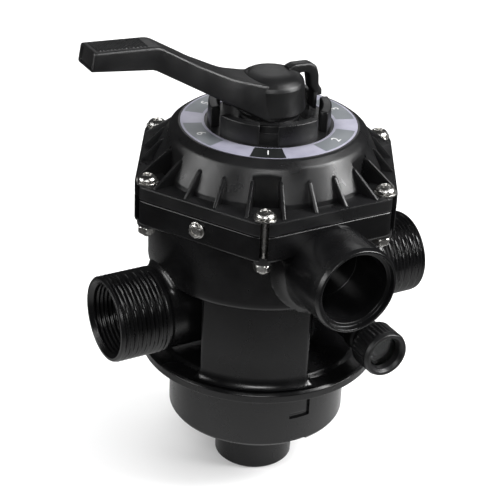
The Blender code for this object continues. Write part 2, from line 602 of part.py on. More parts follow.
def handle(black, holder):
    """Lever handle: raised grip, arm, round hub with two lifting lobes, and the detent finger."""
    def from_pin(reach, height):
        return (reach, height - PIN_HEIGHT)
    arm = loft([
        handle_section(from_pin(HANDLE_REACH - 2.0, 241.5), from_pin(HANDLE_REACH, 231.0), 10.0, 1.5),
        handle_section(from_pin(HANDLE_REACH - 3.5, 243.0), from_pin(HANDLE_REACH - 0.8, 229.5), 11.3, 1.5),
        handle_section(from_pin(87.0, 240.2), from_pin(90.5, 225.0), 11.3, 1.5),
        handle_section(from_pin(58.0, 222.5), from_pin(51.5, 202.0), 12.5, 1.5),
        handle_section(from_pin(34.0, 209.8), from_pin(28.5, 188.6), 15.5, 1.5),
        handle_section(from_pin(14.0, 203.0), from_pin(LOBE_REACH, LOBE_LOW), 17.5, 1.0),
        handle_section(from_pin(0.0, 203.0), from_pin(0.0, HUB_LOW - 1.0), 17.5, 1.0)])
    part = add_object("handle", arm, black, holder)
    low = HUB_LOW - PIN_HEIGHT
    hub = [(HUB_RADIUS, HUB_RIM - PIN_HEIGHT), (HUB_RADIUS - 0.8, low), (0.0, low)]
    dome = []
    for step in range(6):
        angle = math.radians(90 - 15 * step)
        height = HUB_RIM + (HUB_TOP - HUB_RIM) * math.sin(angle) - PIN_HEIGHT
        dome.append((HUB_RADIUS * math.cos(angle) if step else 0.0, height))
    join_at_pin(part, "handle_hub", turned(dome + hub, 36))

    strap = [
        ((14.0, 206.0), (14.0, 201.0)), ((26.0, 209.8), (26.0, 203.8)), ((33.0, 208.6), (29.8, 203.0)),
        ((37.2, 204.3), (31.5, 200.0)), ((FINGER_OUTER, 197.0), (FINGER_OUTER - FINGER_THICK, 195.0)),
        ((FINGER_OUTER, CROWN_TOP + 0.5), (FINGER_OUTER - FINGER_THICK, CROWN_TOP + 0.5))]
    sections = []
    for outer, inner in strap:
        outer, inner = from_pin(-outer[0], outer[1]), from_pin(-inner[0], inner[1])
        sections.append(handle_section(outer, inner, FINGER_WIDTH / 2, 0.8))
    join_at_pin(part, "detent_finger", loft(sections))
    inner_face = FINGER_OUTER - FINGER_THICK
    nose = block(
        inner_face, CROWN_INNER - 1.0, -FINGER_WIDTH / 2 + 0.3, FINGER_WIDTH / 2 - 0.3,
        LABEL_HEIGHT + 6.0 - PIN_HEIGHT, CROWN_TOP + 1.5 - PIN_HEIGHT)
    join_at_pin(part, "finger_nose", nose)

    half_slot = SHAFT_RADIUS + 0.7
    slot = block(-13.6, 13.6, -half_slot, half_slot, LOBE_LOW - 5.0 - PIN_HEIGHT, 12.6)
    combine(part, "DIFFERENCE", "shaft_slot", placed(slot, move=(0, 0, PIN_HEIGHT)))
    pin_hole = placed(rod(PIN_RADIUS + CLEAR, -HUB_RADIUS - 5.0, 20.0, 16), ALONG_MINUS_Y, (0, 0, PIN_HEIGHT))
    combine(part, "DIFFERENCE", "handle_pin_hole", pin_hole)


def join_at_pin(part, name, shape):
    """Join a shape that is drawn about the pin's centre to the handle."""
    combine(part, "UNION", name, placed(shape, move=(0, 0, PIN_HEIGHT)))


def handle_pin(steel, holder):
    """The cross pin through the shaft and both cheeks of the hub; the hinge of the handle."""
    pin = placed(rod(PIN_RADIUS, -HUB_RADIUS + 1.0, 19.5, 16), ALONG_MINUS_Y)
    add_object("handle_pin", pin, steel, holder, PIN_HEIGHT)


def cover_fasteners(steel):
    """Six sets of cross-recess screw, washer and nut round the flanges."""
    washer_low = COVER_FLANGE_TOP + CLEAR
    head_low = washer_low + WASHER_THICK + CLEAR
    head_top = head_low + SCREW_HEAD_HIGH
    nut_top = BOSS_LOW - CLEAR
    across = NUT_ACROSS / math.sqrt(3)
    hex_points = [(across * math.cos(angle), across * math.sin(angle)) for angle in CORNER_ANGLES]
    quarter = [(3.2, -0.7), (3.2, 0.7), (0.7, 0.7)]
    cross = [
        tuple(Matrix.Rotation(turn * math.pi / 2, 2) @ Vector(point)) for turn in range(4) for point in quarter]
    for number, angle in enumerate(CORNER_ANGLES, 1):
        place = (BOLT_CIRCLE * math.cos(angle), BOLT_CIRCLE * math.sin(angle), 0)
        screw = turned([
            (0.0, head_top), (2.6, head_top - 0.3), (4.8, head_top - 1.2), (SCREW_HEAD_RADIUS, head_top - 2.6),
            (SCREW_HEAD_RADIUS, head_low), (SCREW_RADIUS, head_low), (SCREW_RADIUS, SCREW_TIP + 1.0),
            (SCREW_RADIUS - 1.0, SCREW_TIP), (0.0, SCREW_TIP)], 12)
        item = add_object("cover_screw_%d" % number, placed(screw, move=place), steel)
        recess = placed(prism(cross, head_top - 1.9, head_top + 2.0), Matrix.Rotation(angle, 4, "Z"), place)
        combine(item, "DIFFERENCE", "recess_%d" % number, recess)
        ring = washer(SCREW_HOLE, WASHER_RADIUS, washer_low, washer_low + WASHER_THICK, 16)
        add_object("cover_washer_%d" % number, placed(ring, move=place), steel)
        nut = prism(hex_points, nut_top - NUT_HIGH, nut_top)
        item = add_object("cover_nut_%d" % number, placed(nut, move=place), steel)
        thread = rod(SCREW_RADIUS + CLEAR, nut_top - NUT_HIGH - 2.0, nut_top + 2.0, 10)
        combine(item, "DIFFERENCE", "nut_thread_%d" % number, placed(thread, move=place))


def sight_glass(black, clear, rubber):
    """Sight glass on the right port: neck, gasket, lens and the collar that holds them."""
    def outward(shape):
        return placed(shape, ALONG_MINUS_Y, (SIGHT_OFFSET, 0, SIGHT_HEIGHT))
    cup = SIGHT_LENS_RADIUS
    cup_end = SIGHT_REACH - 13.5
    neck = turned([
        (SIGHT_BORE, cup_end), (cup, cup_end), (cup, cup_end - 7.0), (SIGHT_NECK_RADIUS, cup_end - 11.0),
        (SIGHT_NECK_RADIUS, SIGHT_BOSS_REACH + CLEAR), (SIGHT_BORE, SIGHT_BOSS_REACH + CLEAR)], 20)
    add_object("sight_glass_neck", outward(neck), black)
    gasket_low = cup_end + CLEAR
    lens_low = gasket_low + 1.6 + CLEAR
    lens_top = lens_low + 4.0
    add_object("sight_glass_gasket", outward(washer(8.5, cup, gasket_low, gasket_low + 1.6, 20)), rubber)
    add_object("sight_glass_lens", outward(rod(cup, lens_low, lens_top, 24)), clear)
    inner = cup + CLEAR
    collar = turned([
        (SIGHT_RING_RADIUS - 5.5, SIGHT_REACH), (SIGHT_RING_RADIUS - 1.0, SIGHT_REACH),
        (SIGHT_RING_RADIUS, SIGHT_REACH - 1.0), (SIGHT_RING_RADIUS, cup_end - 6.5), (inner, cup_end - 6.5),
        (inner, lens_top + CLEAR), (SIGHT_RING_RADIUS - 5.5, lens_top + CLEAR)], 24)
    add_object("sight_glass_collar", outward(collar), black)


def gauge_plug(steel):
    """The plug that closes the gauge hole in the middle of one flange face."""
    plug = turned([
        (0.0, APOTHEM + 3.6), (4.6, APOTHEM + 3.6), (5.6, APOTHEM + 2.6), (5.6, APOTHEM + CLEAR),
        (3.7, APOTHEM + CLEAR), (3.7, APOTHEM - 6.0), (0.0, APOTHEM - 6.0)], 16)
    plug = placed(plug, ALONG_X, (0, 0, PLUG_HEIGHT))
    add_object("gauge_plug", placed(plug, Matrix.Rotation(PLUG_ANGLE, 4, "Z")), steel)


def label_plate(grey):
    """The flat ring round the crown that names the six positions."""
    low = LABEL_HEIGHT + CLEAR
    ring = washer(CROWN_RADIUS + CLEAR, LABEL_OUTER, low, low + LABEL_THICK, 36)
    add_object("label_plate", ring, grey)


glossy_black = plastic("glossy_black_plastic", (0.030, 0.031, 0.033), 0.25)
satin_black = plastic("satin_black_plastic", (0.045, 0.046, 0.049), 0.42)
handle_black = plastic("handle_plastic", (0.055, 0.056, 0.060), 0.48)
white_plastic = plastic("white_plastic", (0.70, 0.70, 0.68), 0.40)
nylon_grey = plastic("nylon", (0.55, 0.54, 0.50), 0.50)
label_grey = plastic("label_grey", (0.55, 0.53, 0.60), 0.45)
seal_rubber = plastic("seal_rubber", (0.015, 0.015, 0.015), 0.70)
lens_clear = plastic("lens_clear", (0.80, 0.84, 0.86), 0.05)
stainless = finish("stainless_steel", (0.62, 0.61, 0.59), 0.28, 1.0)
spring_steel = finish("spring_steel", (0.45, 0.45, 0.46), 0.35, 1.0)

turning_axis = empty("turning_axis", 0.0)
lifting_axis = empty("lifting_axis", 0.0)
lifting_axis.parent = turning_axis
press_axis = empty("press_axis", PIN_HEIGHT)
press_axis.parent = lifting_axis

valve_body(glossy_black)
cover(satin_black)
spider_gasket(seal_rubber)
diverter(white_plastic, lifting_axis)
spring(spring_steel)
seals_and_washers(stainless, seal_rubber, nylon_grey, turning_axis, lifting_axis)
handle(handle_black, press_axis)
handle_pin(stainless, lifting_axis)
cover_fasteners(stainless)
sight_glass(satin_black, lens_clear, seal_rubber)
gauge_plug(stainless)
label_plate(label_grey)
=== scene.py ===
"""Looks of a six-way valve head for a sand filter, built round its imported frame.

Sizes are in millimetres, angles in degrees round the valve's axis; meshes go into the scene in metres.
"""

import bmesh
import bpy
import numpy as np
from mathutils import Matrix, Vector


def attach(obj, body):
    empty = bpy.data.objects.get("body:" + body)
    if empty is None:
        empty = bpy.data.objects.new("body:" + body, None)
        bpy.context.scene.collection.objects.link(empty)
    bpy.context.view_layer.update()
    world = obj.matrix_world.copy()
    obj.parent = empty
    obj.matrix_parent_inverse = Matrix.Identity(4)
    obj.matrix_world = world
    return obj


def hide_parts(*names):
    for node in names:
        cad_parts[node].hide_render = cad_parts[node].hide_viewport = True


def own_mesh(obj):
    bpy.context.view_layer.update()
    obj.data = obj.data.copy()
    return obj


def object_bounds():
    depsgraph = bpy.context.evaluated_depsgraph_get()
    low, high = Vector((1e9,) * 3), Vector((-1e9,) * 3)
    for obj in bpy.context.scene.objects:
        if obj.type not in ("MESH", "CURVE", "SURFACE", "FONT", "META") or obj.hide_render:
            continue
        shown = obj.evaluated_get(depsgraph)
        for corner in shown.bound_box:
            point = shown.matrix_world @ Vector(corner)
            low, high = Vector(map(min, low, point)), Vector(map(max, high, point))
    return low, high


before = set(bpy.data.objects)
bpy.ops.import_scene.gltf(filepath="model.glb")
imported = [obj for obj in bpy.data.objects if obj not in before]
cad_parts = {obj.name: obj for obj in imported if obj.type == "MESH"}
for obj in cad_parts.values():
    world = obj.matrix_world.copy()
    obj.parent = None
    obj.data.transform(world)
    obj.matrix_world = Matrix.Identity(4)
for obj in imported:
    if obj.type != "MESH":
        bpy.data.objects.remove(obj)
cad_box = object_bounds()


# ---- Bowl, column and tank flange -----------------------------------------------------------
# One injection moulding in glossy black glass-filled plastic. The bowl holds the six chambers,
# the column carries water down to the tank, and the clamp grips the round flange at its foot.

def rounded(corners, steps=7):
    """A smooth outline through (x, z, radius) corners.

    Each corner becomes a quadratic blend that starts and ends one tangent length away: the
    radius times the tangent of half the turn, but at most 0.49 of the shorter side.
    """
    corners = np.array(corners, float)
    pieces = [corners[:1, :2]]
    share = np.linspace(0, 1, steps)[:, None]
    for before, here, after in zip(corners[:-2], corners[1:-1], corners[2:]):
        back, ahead = before[:2] - here[:2], after[:2] - here[:2]
        shorter = min(np.linalg.norm(back), np.linalg.norm(ahead))
        back, ahead = back / np.linalg.norm(back), ahead / np.linalg.norm(ahead)
        half_turn = (np.pi - np.arccos(np.clip(back @ ahead, -1, 1))) / 2
        reach = min(here[2] * np.tan(half_turn), 0.49 * shorter)
        blend = (1 - share) ** 2 * back + share ** 2 * ahead
        pieces.append(here[:2] + reach * blend if reach > 0.001 else here[None, :2])
    return np.vstack(pieces + [corners[-1:, :2]])


def refined(outline, longest):
    """The same outline with points added along it, so that no step is longer than given."""
    steps = np.linalg.norm(np.diff(outline, axis=0), axis=1)
    travelled = np.concatenate([[0], np.cumsum(steps)])
    stations = np.unique(np.concatenate([travelled, np.arange(0, travelled[-1], longest)]).round(5))
    return np.stack([np.interp(stations, travelled, outline[:, axis]) for axis in (0, 1)], axis=-1)


def turned(outline, angles=144):
    """Grid of a turned shape: each (radius, height) point carried round the Z axis."""
    if np.isscalar(angles):
        angles = np.linspace(0, 2 * np.pi, angles, endpoint=False)
    radius, height = outline[:, :1], outline[:, 1:]
    return np.stack([radius * np.cos(angles), radius * np.sin(angles), height + 0 * angles], axis=-1)


def skin(grid, close_rows=False, close_columns=True):
    """Points and four-sided faces of a grid: row by row, joined to the first where closed."""
    index = np.arange(grid.shape[0] * grid.shape[1]).reshape(grid.shape[:2])
    if close_rows:
        index = np.vstack([index, index[:1]])
    if close_columns:
        index = np.hstack([index, index[:, :1]])
    faces = np.stack([index[:-1, :-1], index[:-1, 1:], index[1:, 1:], index[1:, :-1]], axis=-1)
    return grid.reshape(-1, 3), faces.reshape(-1, 4)


def closed_mesh(name, shells):
    """A mesh in metres from shells in millimetres, doubles merged at poles and faces turned outward."""
    starts = np.cumsum([0] + [len(points) for points, _ in shells])
    points = np.vstack([points for points, _ in shells]) * 0.001
    faces = np.vstack([faces + start for (_, faces), start in zip(shells, starts)])
    mesh = bpy.data.meshes.new(name)
    mesh.from_pydata(points.tolist(), [], faces.tolist())
    work = bmesh.new()
    work.from_mesh(mesh)
    bmesh.ops.remove_doubles(work, verts=work.verts, dist=1e-6)
    bmesh.ops.recalc_face_normals(work, faces=work.faces)
    work.to_mesh(mesh)
    work.free()
    return mesh


def piece(name, shells, material, body, slot, *nodes, crease=38):
    """One object from several shells, standing for the CAD nodes named.

    Edges that turn by more than the crease angle are shaded sharp.
    """
    mesh = closed_mesh(name, shells)
    mesh.shade_smooth()
    mesh.set_sharp_from_angle(angle=np.radians(crease))
    mesh.materials.append(material)
    thing = bpy.data.objects.new(name, mesh)
    bpy.context.scene.collection.objects.link(thing)
    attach(thing, body)
    if nodes:
        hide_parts(*nodes)
    return thing


def new_nodes(material, *kinds):
    """New shader nodes of the kinds named, in a material or a world."""
    return [material.node_tree.nodes.new("ShaderNode" + kind) for kind in kinds]


def drift(material, scale, low, high, detail=3.0):
    """A number that wanders between low and high over a piece, from noise on its own coordinates."""
    links = material.node_tree.links
    place, noise, spread = new_nodes(material, "TexCoord", "TexNoise", "MapRange")
    noise.inputs["Scale"].default_value = scale
    noise.inputs["Detail"].default_value = detail
    links.new(place.outputs["Object"], noise.inputs["Vector"])
    links.new(noise.outputs["Fac"], spread.inputs["Value"])
    for socket, value in (("From Min", 0.36), ("From Max", 0.64), ("To Min", low), ("To Max", high)):
        spread.inputs[socket].default_value = value
    return spread.outputs["Result"]


def finish(name, dark, light, roughness, grain, grain_depth, metallic=0.0, specular=0.5):
    """A moulded or metal finish: two tones that drift, roughness that drifts, and a fine grain.

    Roughness is a (low, high) pair; grain is the noise's scale per metre and its depth is in metres.
    """
    material = bpy.data.materials.new(name)
    material.use_nodes = True
    links = material.node_tree.links
    shader = material.node_tree.nodes["Principled BSDF"]
    shader.inputs["Metallic"].default_value = metallic
    shader.inputs["Specular IOR Level"].default_value = specular
    tones, bump = new_nodes(material, "Mix", "Bump")
    tones.data_type = "RGBA"
    links.new(drift(material, 38.0, 0.0, 1.0, 5.0), tones.inputs["Factor"])
    tones.inputs["A"].default_value = (*dark, 1)
    tones.inputs["B"].default_value = (*light, 1)
    links.new(tones.outputs["Result"], shader.inputs["Base Color"])
    links.new(drift(material, 55.0, *roughness), shader.inputs["Roughness"])
    bump.inputs["Distance"].default_value = grain_depth
    links.new(drift(material, grain, 0.0, 1.0, 2.0), bump.inputs["Height"])
    links.new(bump.outputs["Normal"], shader.inputs["Normal"])
    return material


BOWL_RADIUS, BOWL_FLOOR = 80.0, 69.0
COLUMN_RADIUS = 38.5
FLANGE_RADIUS = 84.0
FLANGE_FACE, PORT_FACE = 86.5, 121.0       # middle of a flat of the flange; mouth of a side port

body_gloss = finish(
    "glossy_black_plastic", (0.0028, 0.0028, 0.003), (0.0050, 0.0050, 0.0054), (0.17, 0.29), 1600.0, 0.000012,
    specular=0.45)

bowl = rounded([
    (0, 121, 0), (BOWL_RADIUS, 121, 0), (BOWL_RADIUS, BOWL_FLOOR, 3.5), (COLUMN_RADIUS, BOWL_FLOOR, 3.0),
    (COLUMN_RADIUS, 11.0, 4.0), (70.3, 11.0, 1.6), (72.6, 8.3, 1.4), (82.4, 7.0, 1.2),
    (FLANGE_RADIUS, 5.4, 1.0), (FLANGE_RADIUS, 0, 0.6), (0, 0, 0)])
piece("bowl_and_column", [skin(turned(refined(bowl, 3.0), 192))], body_gloss, "housing",
      "glossy_black_plastic", "valve_body")


# ---- Front duct -----------------------------------------------------------------------------
# A broad curved wall under the front of the bowl, moulded with it, that carries one chamber
# down to the tank flange. Its upright edges are eased and its foot flares a little.

DUCT_RADIUS, DUCT_FROM, DUCT_TO = 78.0, 208.8, 267.2

# Height, and how far the foot flares there.
duct_rows = [
    (9.0, 4.6), (8.2, 3.4), (9.4, 2.0), (11.0, 0.9), (13.5, 0.25), (16.5, 0.0), (30.0, 0.0), (50.0, 0.0),
    (71.5, 0.0)]


def duct_ring(swell, ease=4.0):
    """The duct's outline at one level: an arc between two radial sides, its two corners eased.

    The angle's share is bent near each end so that the arc rolls over into the side wall.
    """
    half = np.radians(DUCT_TO - DUCT_FROM) / 2
    roll = np.linspace(0, np.pi / 2, 8)
    turn_in = ease / DUCT_RADIUS
    corner_radius = DUCT_RADIUS - ease * (1 - np.sin(roll))
    corner_angle = half - turn_in * (1 - np.cos(roll))
    side_radius = np.linspace(36.0, DUCT_RADIUS - ease, 14)[:-1]
    arc = np.linspace(half - turn_in, turn_in - half, 44)[1:-1]
    one_side = np.concatenate([side_radius, corner_radius])
    one_turn = np.concatenate([half + 0 * side_radius, corner_angle])
    radius = np.concatenate([one_side, DUCT_RADIUS + 0 * arc, one_side[::-1]])
    angle = np.concatenate([one_turn, arc, -one_turn[::-1]])
    x, y = (radius + swell) * np.cos(angle), (radius + swell) * np.sin(angle)
    y += np.sign(y) * swell * (radius < DUCT_RADIUS - 0.5)
    return x, y


rings = [(duct_ring(swell), height) for height, swell in duct_rows]
duct = np.array([np.stack([x, y, height + 0 * x], axis=-1) for (x, y), height in rings])
middle = np.radians(DUCT_FROM + DUCT_TO) / 2
pole = [55.0, 0, 0]                        # inside the duct, where its ends close
duct = np.concatenate([duct[:1] * [0, 0, 1] + pole, duct, duct[-1:] * [0, 0, 1] + pole])
turn = np.array([[np.cos(middle), np.sin(middle), 0], [-np.sin(middle), np.cos(middle), 0], [0, 0, 1]])
piece("front_duct", [skin(duct @ turn)], body_gloss, "housing", "glossy_black_plastic", "valve_body")


# ---- Tank neck ------------------------------------------------------------------------------
# The round neck that goes into the tank, moulded with the body. It has an O-ring groove under
# the flange, a low step below that, and two L-shaped bayonet slots with a notch at the bottom.

NECK_RADIUS, NECK_LOW, NECK_BORE = 63.0, -50.0, 59.0
SLOT_DEPTH = 1.7

def within(value, low, high, soft=0.12):
    """1 where value is between low and high and 0 outside, with edges that ramp over soft."""
    return np.clip((value - low) / soft, 0, 1) * np.clip((high - value) / soft, 0, 1)


neck = rounded([
    (NECK_BORE, 3, 0), (NECK_RADIUS, 3, 0), (NECK_RADIUS, -3.2, 0.2), (61.2, -3.3, 0.2), (61.2, -9.0, 0.2),
    (63.9, -9.1, 0.2), (63.9, -13.0, 0.4), (NECK_RADIUS, -13.7, 0.4), (NECK_RADIUS, -48.0, 0.8),
    (61.6, NECK_LOW, 0.5), (NECK_BORE, NECK_LOW, 0.3), (NECK_BORE, 2.9, 0)], 4)
edges = np.array([262.5, 263.6, 273.7, 275.7, 276.4, 276.9])
edges = np.concatenate([edges, edges - 180])
around = np.concatenate([np.arange(0, 360, 1.5), edges - 0.05, edges + 0.05, edges + 0.15, edges - 0.15])
around = np.unique(around.round(3))
neck = turned(refined(neck, 0.9), np.radians(around))
height, side = neck[:, :, 2], (around % 180)[None, :]
outside = np.hypot(neck[:, :, 0], neck[:, :, 1]) > NECK_BORE + 2.0
slot = np.maximum(
    within(side, 93.7, 96.9) * within(height, -28.7, -14.0, 0.4),
    within(side, 82.5, 96.9) * within(height, -28.7, -25.4, 0.4))
slot = np.maximum(slot, within(side, 83.6, 96.4) * within(height, -60.0, -47.6, 0.4)) * outside
neck[:, :, :2] *= 1 - (slot * SLOT_DEPTH / NECK_RADIUS)[:, :, None]
piece("tank_neck", [skin(neck, close_rows=True)], body_gloss, "housing", "glossy_black_plastic", "valve_body")


# ---- Standpipe socket -----------------------------------------------------------------------
# The long socket under the neck that slips over the tank's standpipe, moulded with the body.
# A polished shoulder ring stands round it where it leaves the neck.

socket = rounded([
    (22, 2, 0), (28, 2, 0), (28, -45.5, 0.5), (31, -48.5, 0.8), (31, -55.4, 1.2), (28.2, -57.2, 0.6),
    (28.0, -92.4, 0.5), (26.5, -94, 0.4), (24.5, -94, 0.3), (24.5, -55.0, 0.1), (27, -55, 0.1),
    (27, -51, 0.1), (24.5, -51, 0.1), (24.5, -44, 0.2), (22, -44, 0.2), (22, 1.9, 0)], 4)
piece("standpipe_socket", [skin(turned(socket, 120), close_rows=True)], body_gloss, "housing",
      "glossy_black_plastic", "valve_body")


# ---- Six-sided body flange ------------------------------------------------------------------
# The flange at the top of the bowl that the cover bolts down on: a hexagon with cut-off
# corners, each over a round boss for its screw and nut. It is part of the body moulding.

CORNER_REACH = 97.0
BOLT_CIRCLE = 90.0
SLOT_HALF, SLOT_BACK = 2.6, 90.5
corner_angles = np.radians(np.arange(0, 360, 60))

def six_sided(angles, inset=0.0, sharpness=170.0):
    """Distance to the flange's edge: twelve flats joined by a power mean, so corners are eased.

    Six long flats face between the screws and six short ones face out over them. A narrow slot
    in the middle of each short flat drops the edge back to the screw's shank.
    """
    long_flats = np.cos(angles[:, None] - corner_angles - np.pi / 6) * FLANGE_FACE / (FLANGE_FACE - inset)
    short_flats = np.cos(angles[:, None] - corner_angles) * FLANGE_FACE / (CORNER_REACH - inset)
    flats = np.clip(np.concatenate([long_flats, short_flats], axis=1), 0, None)
    edge = FLANGE_FACE * (flats ** sharpness).sum(axis=1) ** (-1 / sharpness)
    aside = np.abs((angles + np.pi / 6) % (np.pi / 3) - np.pi / 6) * CORNER_REACH
    return np.minimum(edge, SLOT_BACK + (edge - SLOT_BACK) * np.clip((aside - SLOT_HALF) / 0.25, 0, 1))


def six_sided_slab(outline):
    """Closed slab from (inset, height) pairs; an inset over 20 is a circle of that radius."""
    fine = (np.arange(-24, 25) / 24 * 2.4)[None, :] + np.arange(0, 360, 60)[:, None]
    angles = np.radians(np.unique(np.concatenate([np.arange(0, 360, 0.5), fine.ravel() % 360]).round(4)))
    rings = np.array([six_sided(angles, inset) if inset < 20 else inset + 0 * angles for inset, _ in outline])
    heights = np.array([height for _, height in outline])[:, None] + 0 * angles
    return skin(np.stack([rings * np.cos(angles), rings * np.sin(angles), heights], axis=-1), close_rows=True)


def moved(shell, x=0.0, y=0.0, z=0.0):
    """The shell carried along by x, y and z."""
    return shell[0] + np.array([x, y, z]), shell[1]


body_flange = six_sided_slab([
    (74, 115.6), (2.0, 115.0), (0.7, 115.2), (0.2, 115.7), (0, 116.4), (0, 117.0), (0, 131.6),
    (0, 132.2), (0.25, 132.7), (0.8, 133), (74, 133)])
boss = turned(rounded([
    (0, 118, 0), (9.2, 118, 0), (8.6, 112, 1.0), (3.7, 112, 0.3), (3.7, 116, 0), (0, 116, 0)]), 40)
bosses = [moved(skin(boss), 87.6 * np.cos(a), 87.6 * np.sin(a)) for a in corner_angles]
piece("body_flange", [body_flange] + bosses, body_gloss, "housing", "glossy_black_plastic", "valve_body")


# ---- Side ports -----------------------------------------------------------------------------
# Two threaded spigots for pipe unions, left and right, moulded with the body. Each barrel
# blends into the column and the bowl's floor, and is threaded inside its mouth as well.

PORT_HEIGHT, PORT_RADIUS, PORT_BORE = 46.0, 29.8, 23.5
THREAD_START, PITCH, THREAD_DEPTH = 84.0, 3.0, 1.15

def cut_thread(radius, along, angle, start, end, depth):
    """Radius less a screw groove: a triangle wave of along over pitch less the turn, faded at both ends."""
    wave = np.abs(2 * ((along / PITCH - angle / (2 * np.pi)) % 1) - 1)
    fade = np.clip((along - start) / PITCH, 0, 1) * np.clip((end - along) / 1.5, 0, 1)
    return radius + depth * np.clip(1.35 * wave - 0.2, 0, 1) * fade


def from_body(points):
    """Distance of points from the bowl, the column and the flange, in the plane through the axis."""
    out, high = np.hypot(points[:, :, 0], points[:, :, 1]), points[:, :, 2]
    below = np.hypot(np.clip(out - BOWL_RADIUS, 0, None), np.clip(BOWL_FLOOR - high, 0, None))
    return np.minimum(np.minimum(below, np.abs(out - COLUMN_RADIUS)), np.clip(high - 11.0, 0, None))


def fillet(distance, size):
    """How far a wall swells near another: a quarter circle of the given size that meets it smoothly."""
    left = np.clip(size - distance, 0, size)
    return size - np.sqrt(size ** 2 - left ** 2 * 0.96)


def aimed(grid, toward, height, offset=0.0):
    """A grid drawn along +Z turned to point outward at an angle, at a height and a sideways offset."""
    ahead = np.array([np.cos(toward), np.sin(toward), 0.0])
    aside = np.array([-np.sin(toward), np.cos(toward), 0.0])
    placed = grid[..., :1] * aside + grid[..., 1:2] * np.array([0, 0, 1.0]) + grid[..., 2:] * ahead
    return placed + aside * offset + np.array([0, 0, height])


def port(outline, toward, height, fillet_size, thread=None, inner_thread=None, longest=0.4):
    """A spigot: its turned outline, threaded, aimed, and swollen where it leaves the body."""
    angles = np.linspace(0, 2 * np.pi, 128, endpoint=False)
    outline = refined(outline, longest)
    along, radius = outline[:, 1:] + 0 * angles, outline[:, :1] + 0 * angles
    outer = (outline[:, :1] > PORT_BORE + 3.5) + 0 * angles > 0.5
    if thread:
        radius = np.where(outer, cut_thread(radius, along, angles, *thread, -THREAD_DEPTH), radius)
    if inner_thread:
        cut = cut_thread(radius, along, angles, *inner_thread, 0.8)
        radius = np.where((outline[:, :1] > PORT_BORE - 0.5) & ~outer, cut, radius)
    grid = aimed(np.stack([radius * np.cos(angles), radius * np.sin(angles), along], axis=-1), toward, height)
    swell = fillet(from_body(grid), fillet_size) * outer * np.clip((110 - along) / 20, 0, 1)
    radius = radius + swell
    grid = np.stack([radius * np.cos(angles), radius * np.sin(angles), along], axis=-1)
    return skin(aimed(grid, toward, height))


side_port = rounded([
    (0, 30, 0), (29.0, 30, 0), (29.0, THREAD_START - 2.2, 1.0), (PORT_RADIUS, THREAD_START, 0.8),
    (PORT_RADIUS, PORT_FACE - 1.6, 0.3), (28.6, PORT_FACE, 0.5), (26.8, PORT_FACE, 0.4),
    (PORT_BORE + 0.8, PORT_FACE - 3.0, 0.5), (PORT_BORE, PORT_FACE - 22.0, 0.3), (PORT_BORE, 44.0, 1.0),
    (0, 44.0, 0)])
for name, toward in (("right_port", 0.0), ("left_port", np.pi)):
    spigot = port(side_port, toward, PORT_HEIGHT, 5.0, (THREAD_START + 1.0, PORT_FACE - 1.0),
                  (PORT_FACE - 22.0, PORT_FACE - 3.0))
    piece(name, [spigot], body_gloss, "housing", "glossy_black_plastic", "valve_body")


# ---- Waste port -----------------------------------------------------------------------------
# A plain spigot at the front for the waste line, moulded with the body. It swells broadly into
# the bowl and under the flange, and a stepped seat is cut in its mouth for a pipe or hose tail.

WASTE_HEIGHT, WASTE_FACE, WASTE_RADIUS = 102.0, 122.0, 29.9

waste = rounded([
    (0, 60, 0), (WASTE_RADIUS, 60, 0), (WASTE_RADIUS, WASTE_FACE - 3.0, 1.2), (28.6, WASTE_FACE, 1.4),
    (27.2, WASTE_FACE, 0.5), (26.4, WASTE_FACE - 3.4, 0.5), (24.2, WASTE_FACE - 4.0, 0.5),
    (PORT_BORE, WASTE_FACE - 9.0, 0.5), (PORT_BORE - 0.8, 84, 1.0), (0, 84, 0)])
spigot = port(waste, -np.pi / 2, WASTE_HEIGHT, 9.0, longest=0.9)
piece("waste_port", [spigot], body_gloss, "housing", "glossy_black_plastic", "valve_body")


# ---- Cover ----------------------------------------------------------------------------------
# The satin black lid: a dome on a six-sided flange, with a flat cut over each screw. The spring
# and the shaft's seals are inside; the label lies in the shallow seat round the notched crown.

COVER_LOW, COVER_TOP = 133.3, 143.0
RELIEF_REACH, RELIEF_HALF = 68.5, 9.3
CROWN_INNER, CROWN_OUTER, CROWN_TOP, NOTCH_HALF = 35.0, 41.5, 185.0, 6.25

cover_satin = finish(
    "satin_black_plastic", (0.0048, 0.0048, 0.0051), (0.0080, 0.0080, 0.0085), (0.27, 0.40), 2200.0, 0.00003,
    specular=0.45)


def relieved(outline):
    """Grid of a turned shape with a flat cut at each of its six corners.

    Each sixth is an arc from the middle of a face to the edge of the cut, then a straight run
    across it, held at the cut's reach wherever the shape is wider.
    """
    radius, height = outline[:, :1], outline[:, 1:]
    edge = np.arcsin(np.clip(RELIEF_HALF / np.clip(radius, RELIEF_HALF + 2, None), 0, 1))
    arc = edge + (np.pi / 6 - edge) * np.linspace(0, 1, 9)
    across = np.linspace(-1, 1, 9) * np.minimum(RELIEF_HALF, radius * np.sin(edge))
    reach = np.minimum(RELIEF_REACH, np.sqrt(np.clip(radius ** 2 - across ** 2, 0, None)))
    arc_x, arc_y = radius * np.cos(arc), radius * np.sin(arc)
    x = np.concatenate([arc_x[:, ::-1], reach, arc_x[:, :-1]], axis=1)
    y = np.concatenate([-arc_y[:, ::-1], across, arc_y[:, :-1]], axis=1)
    sixths = [(x * np.cos(a) - y * np.sin(a), x * np.sin(a) + y * np.cos(a)) for a in corner_angles]
    x, y = (np.concatenate(parts, axis=1) for parts in zip(*sixths))
    return np.stack([x, y, height + 0 * x], axis=-1)


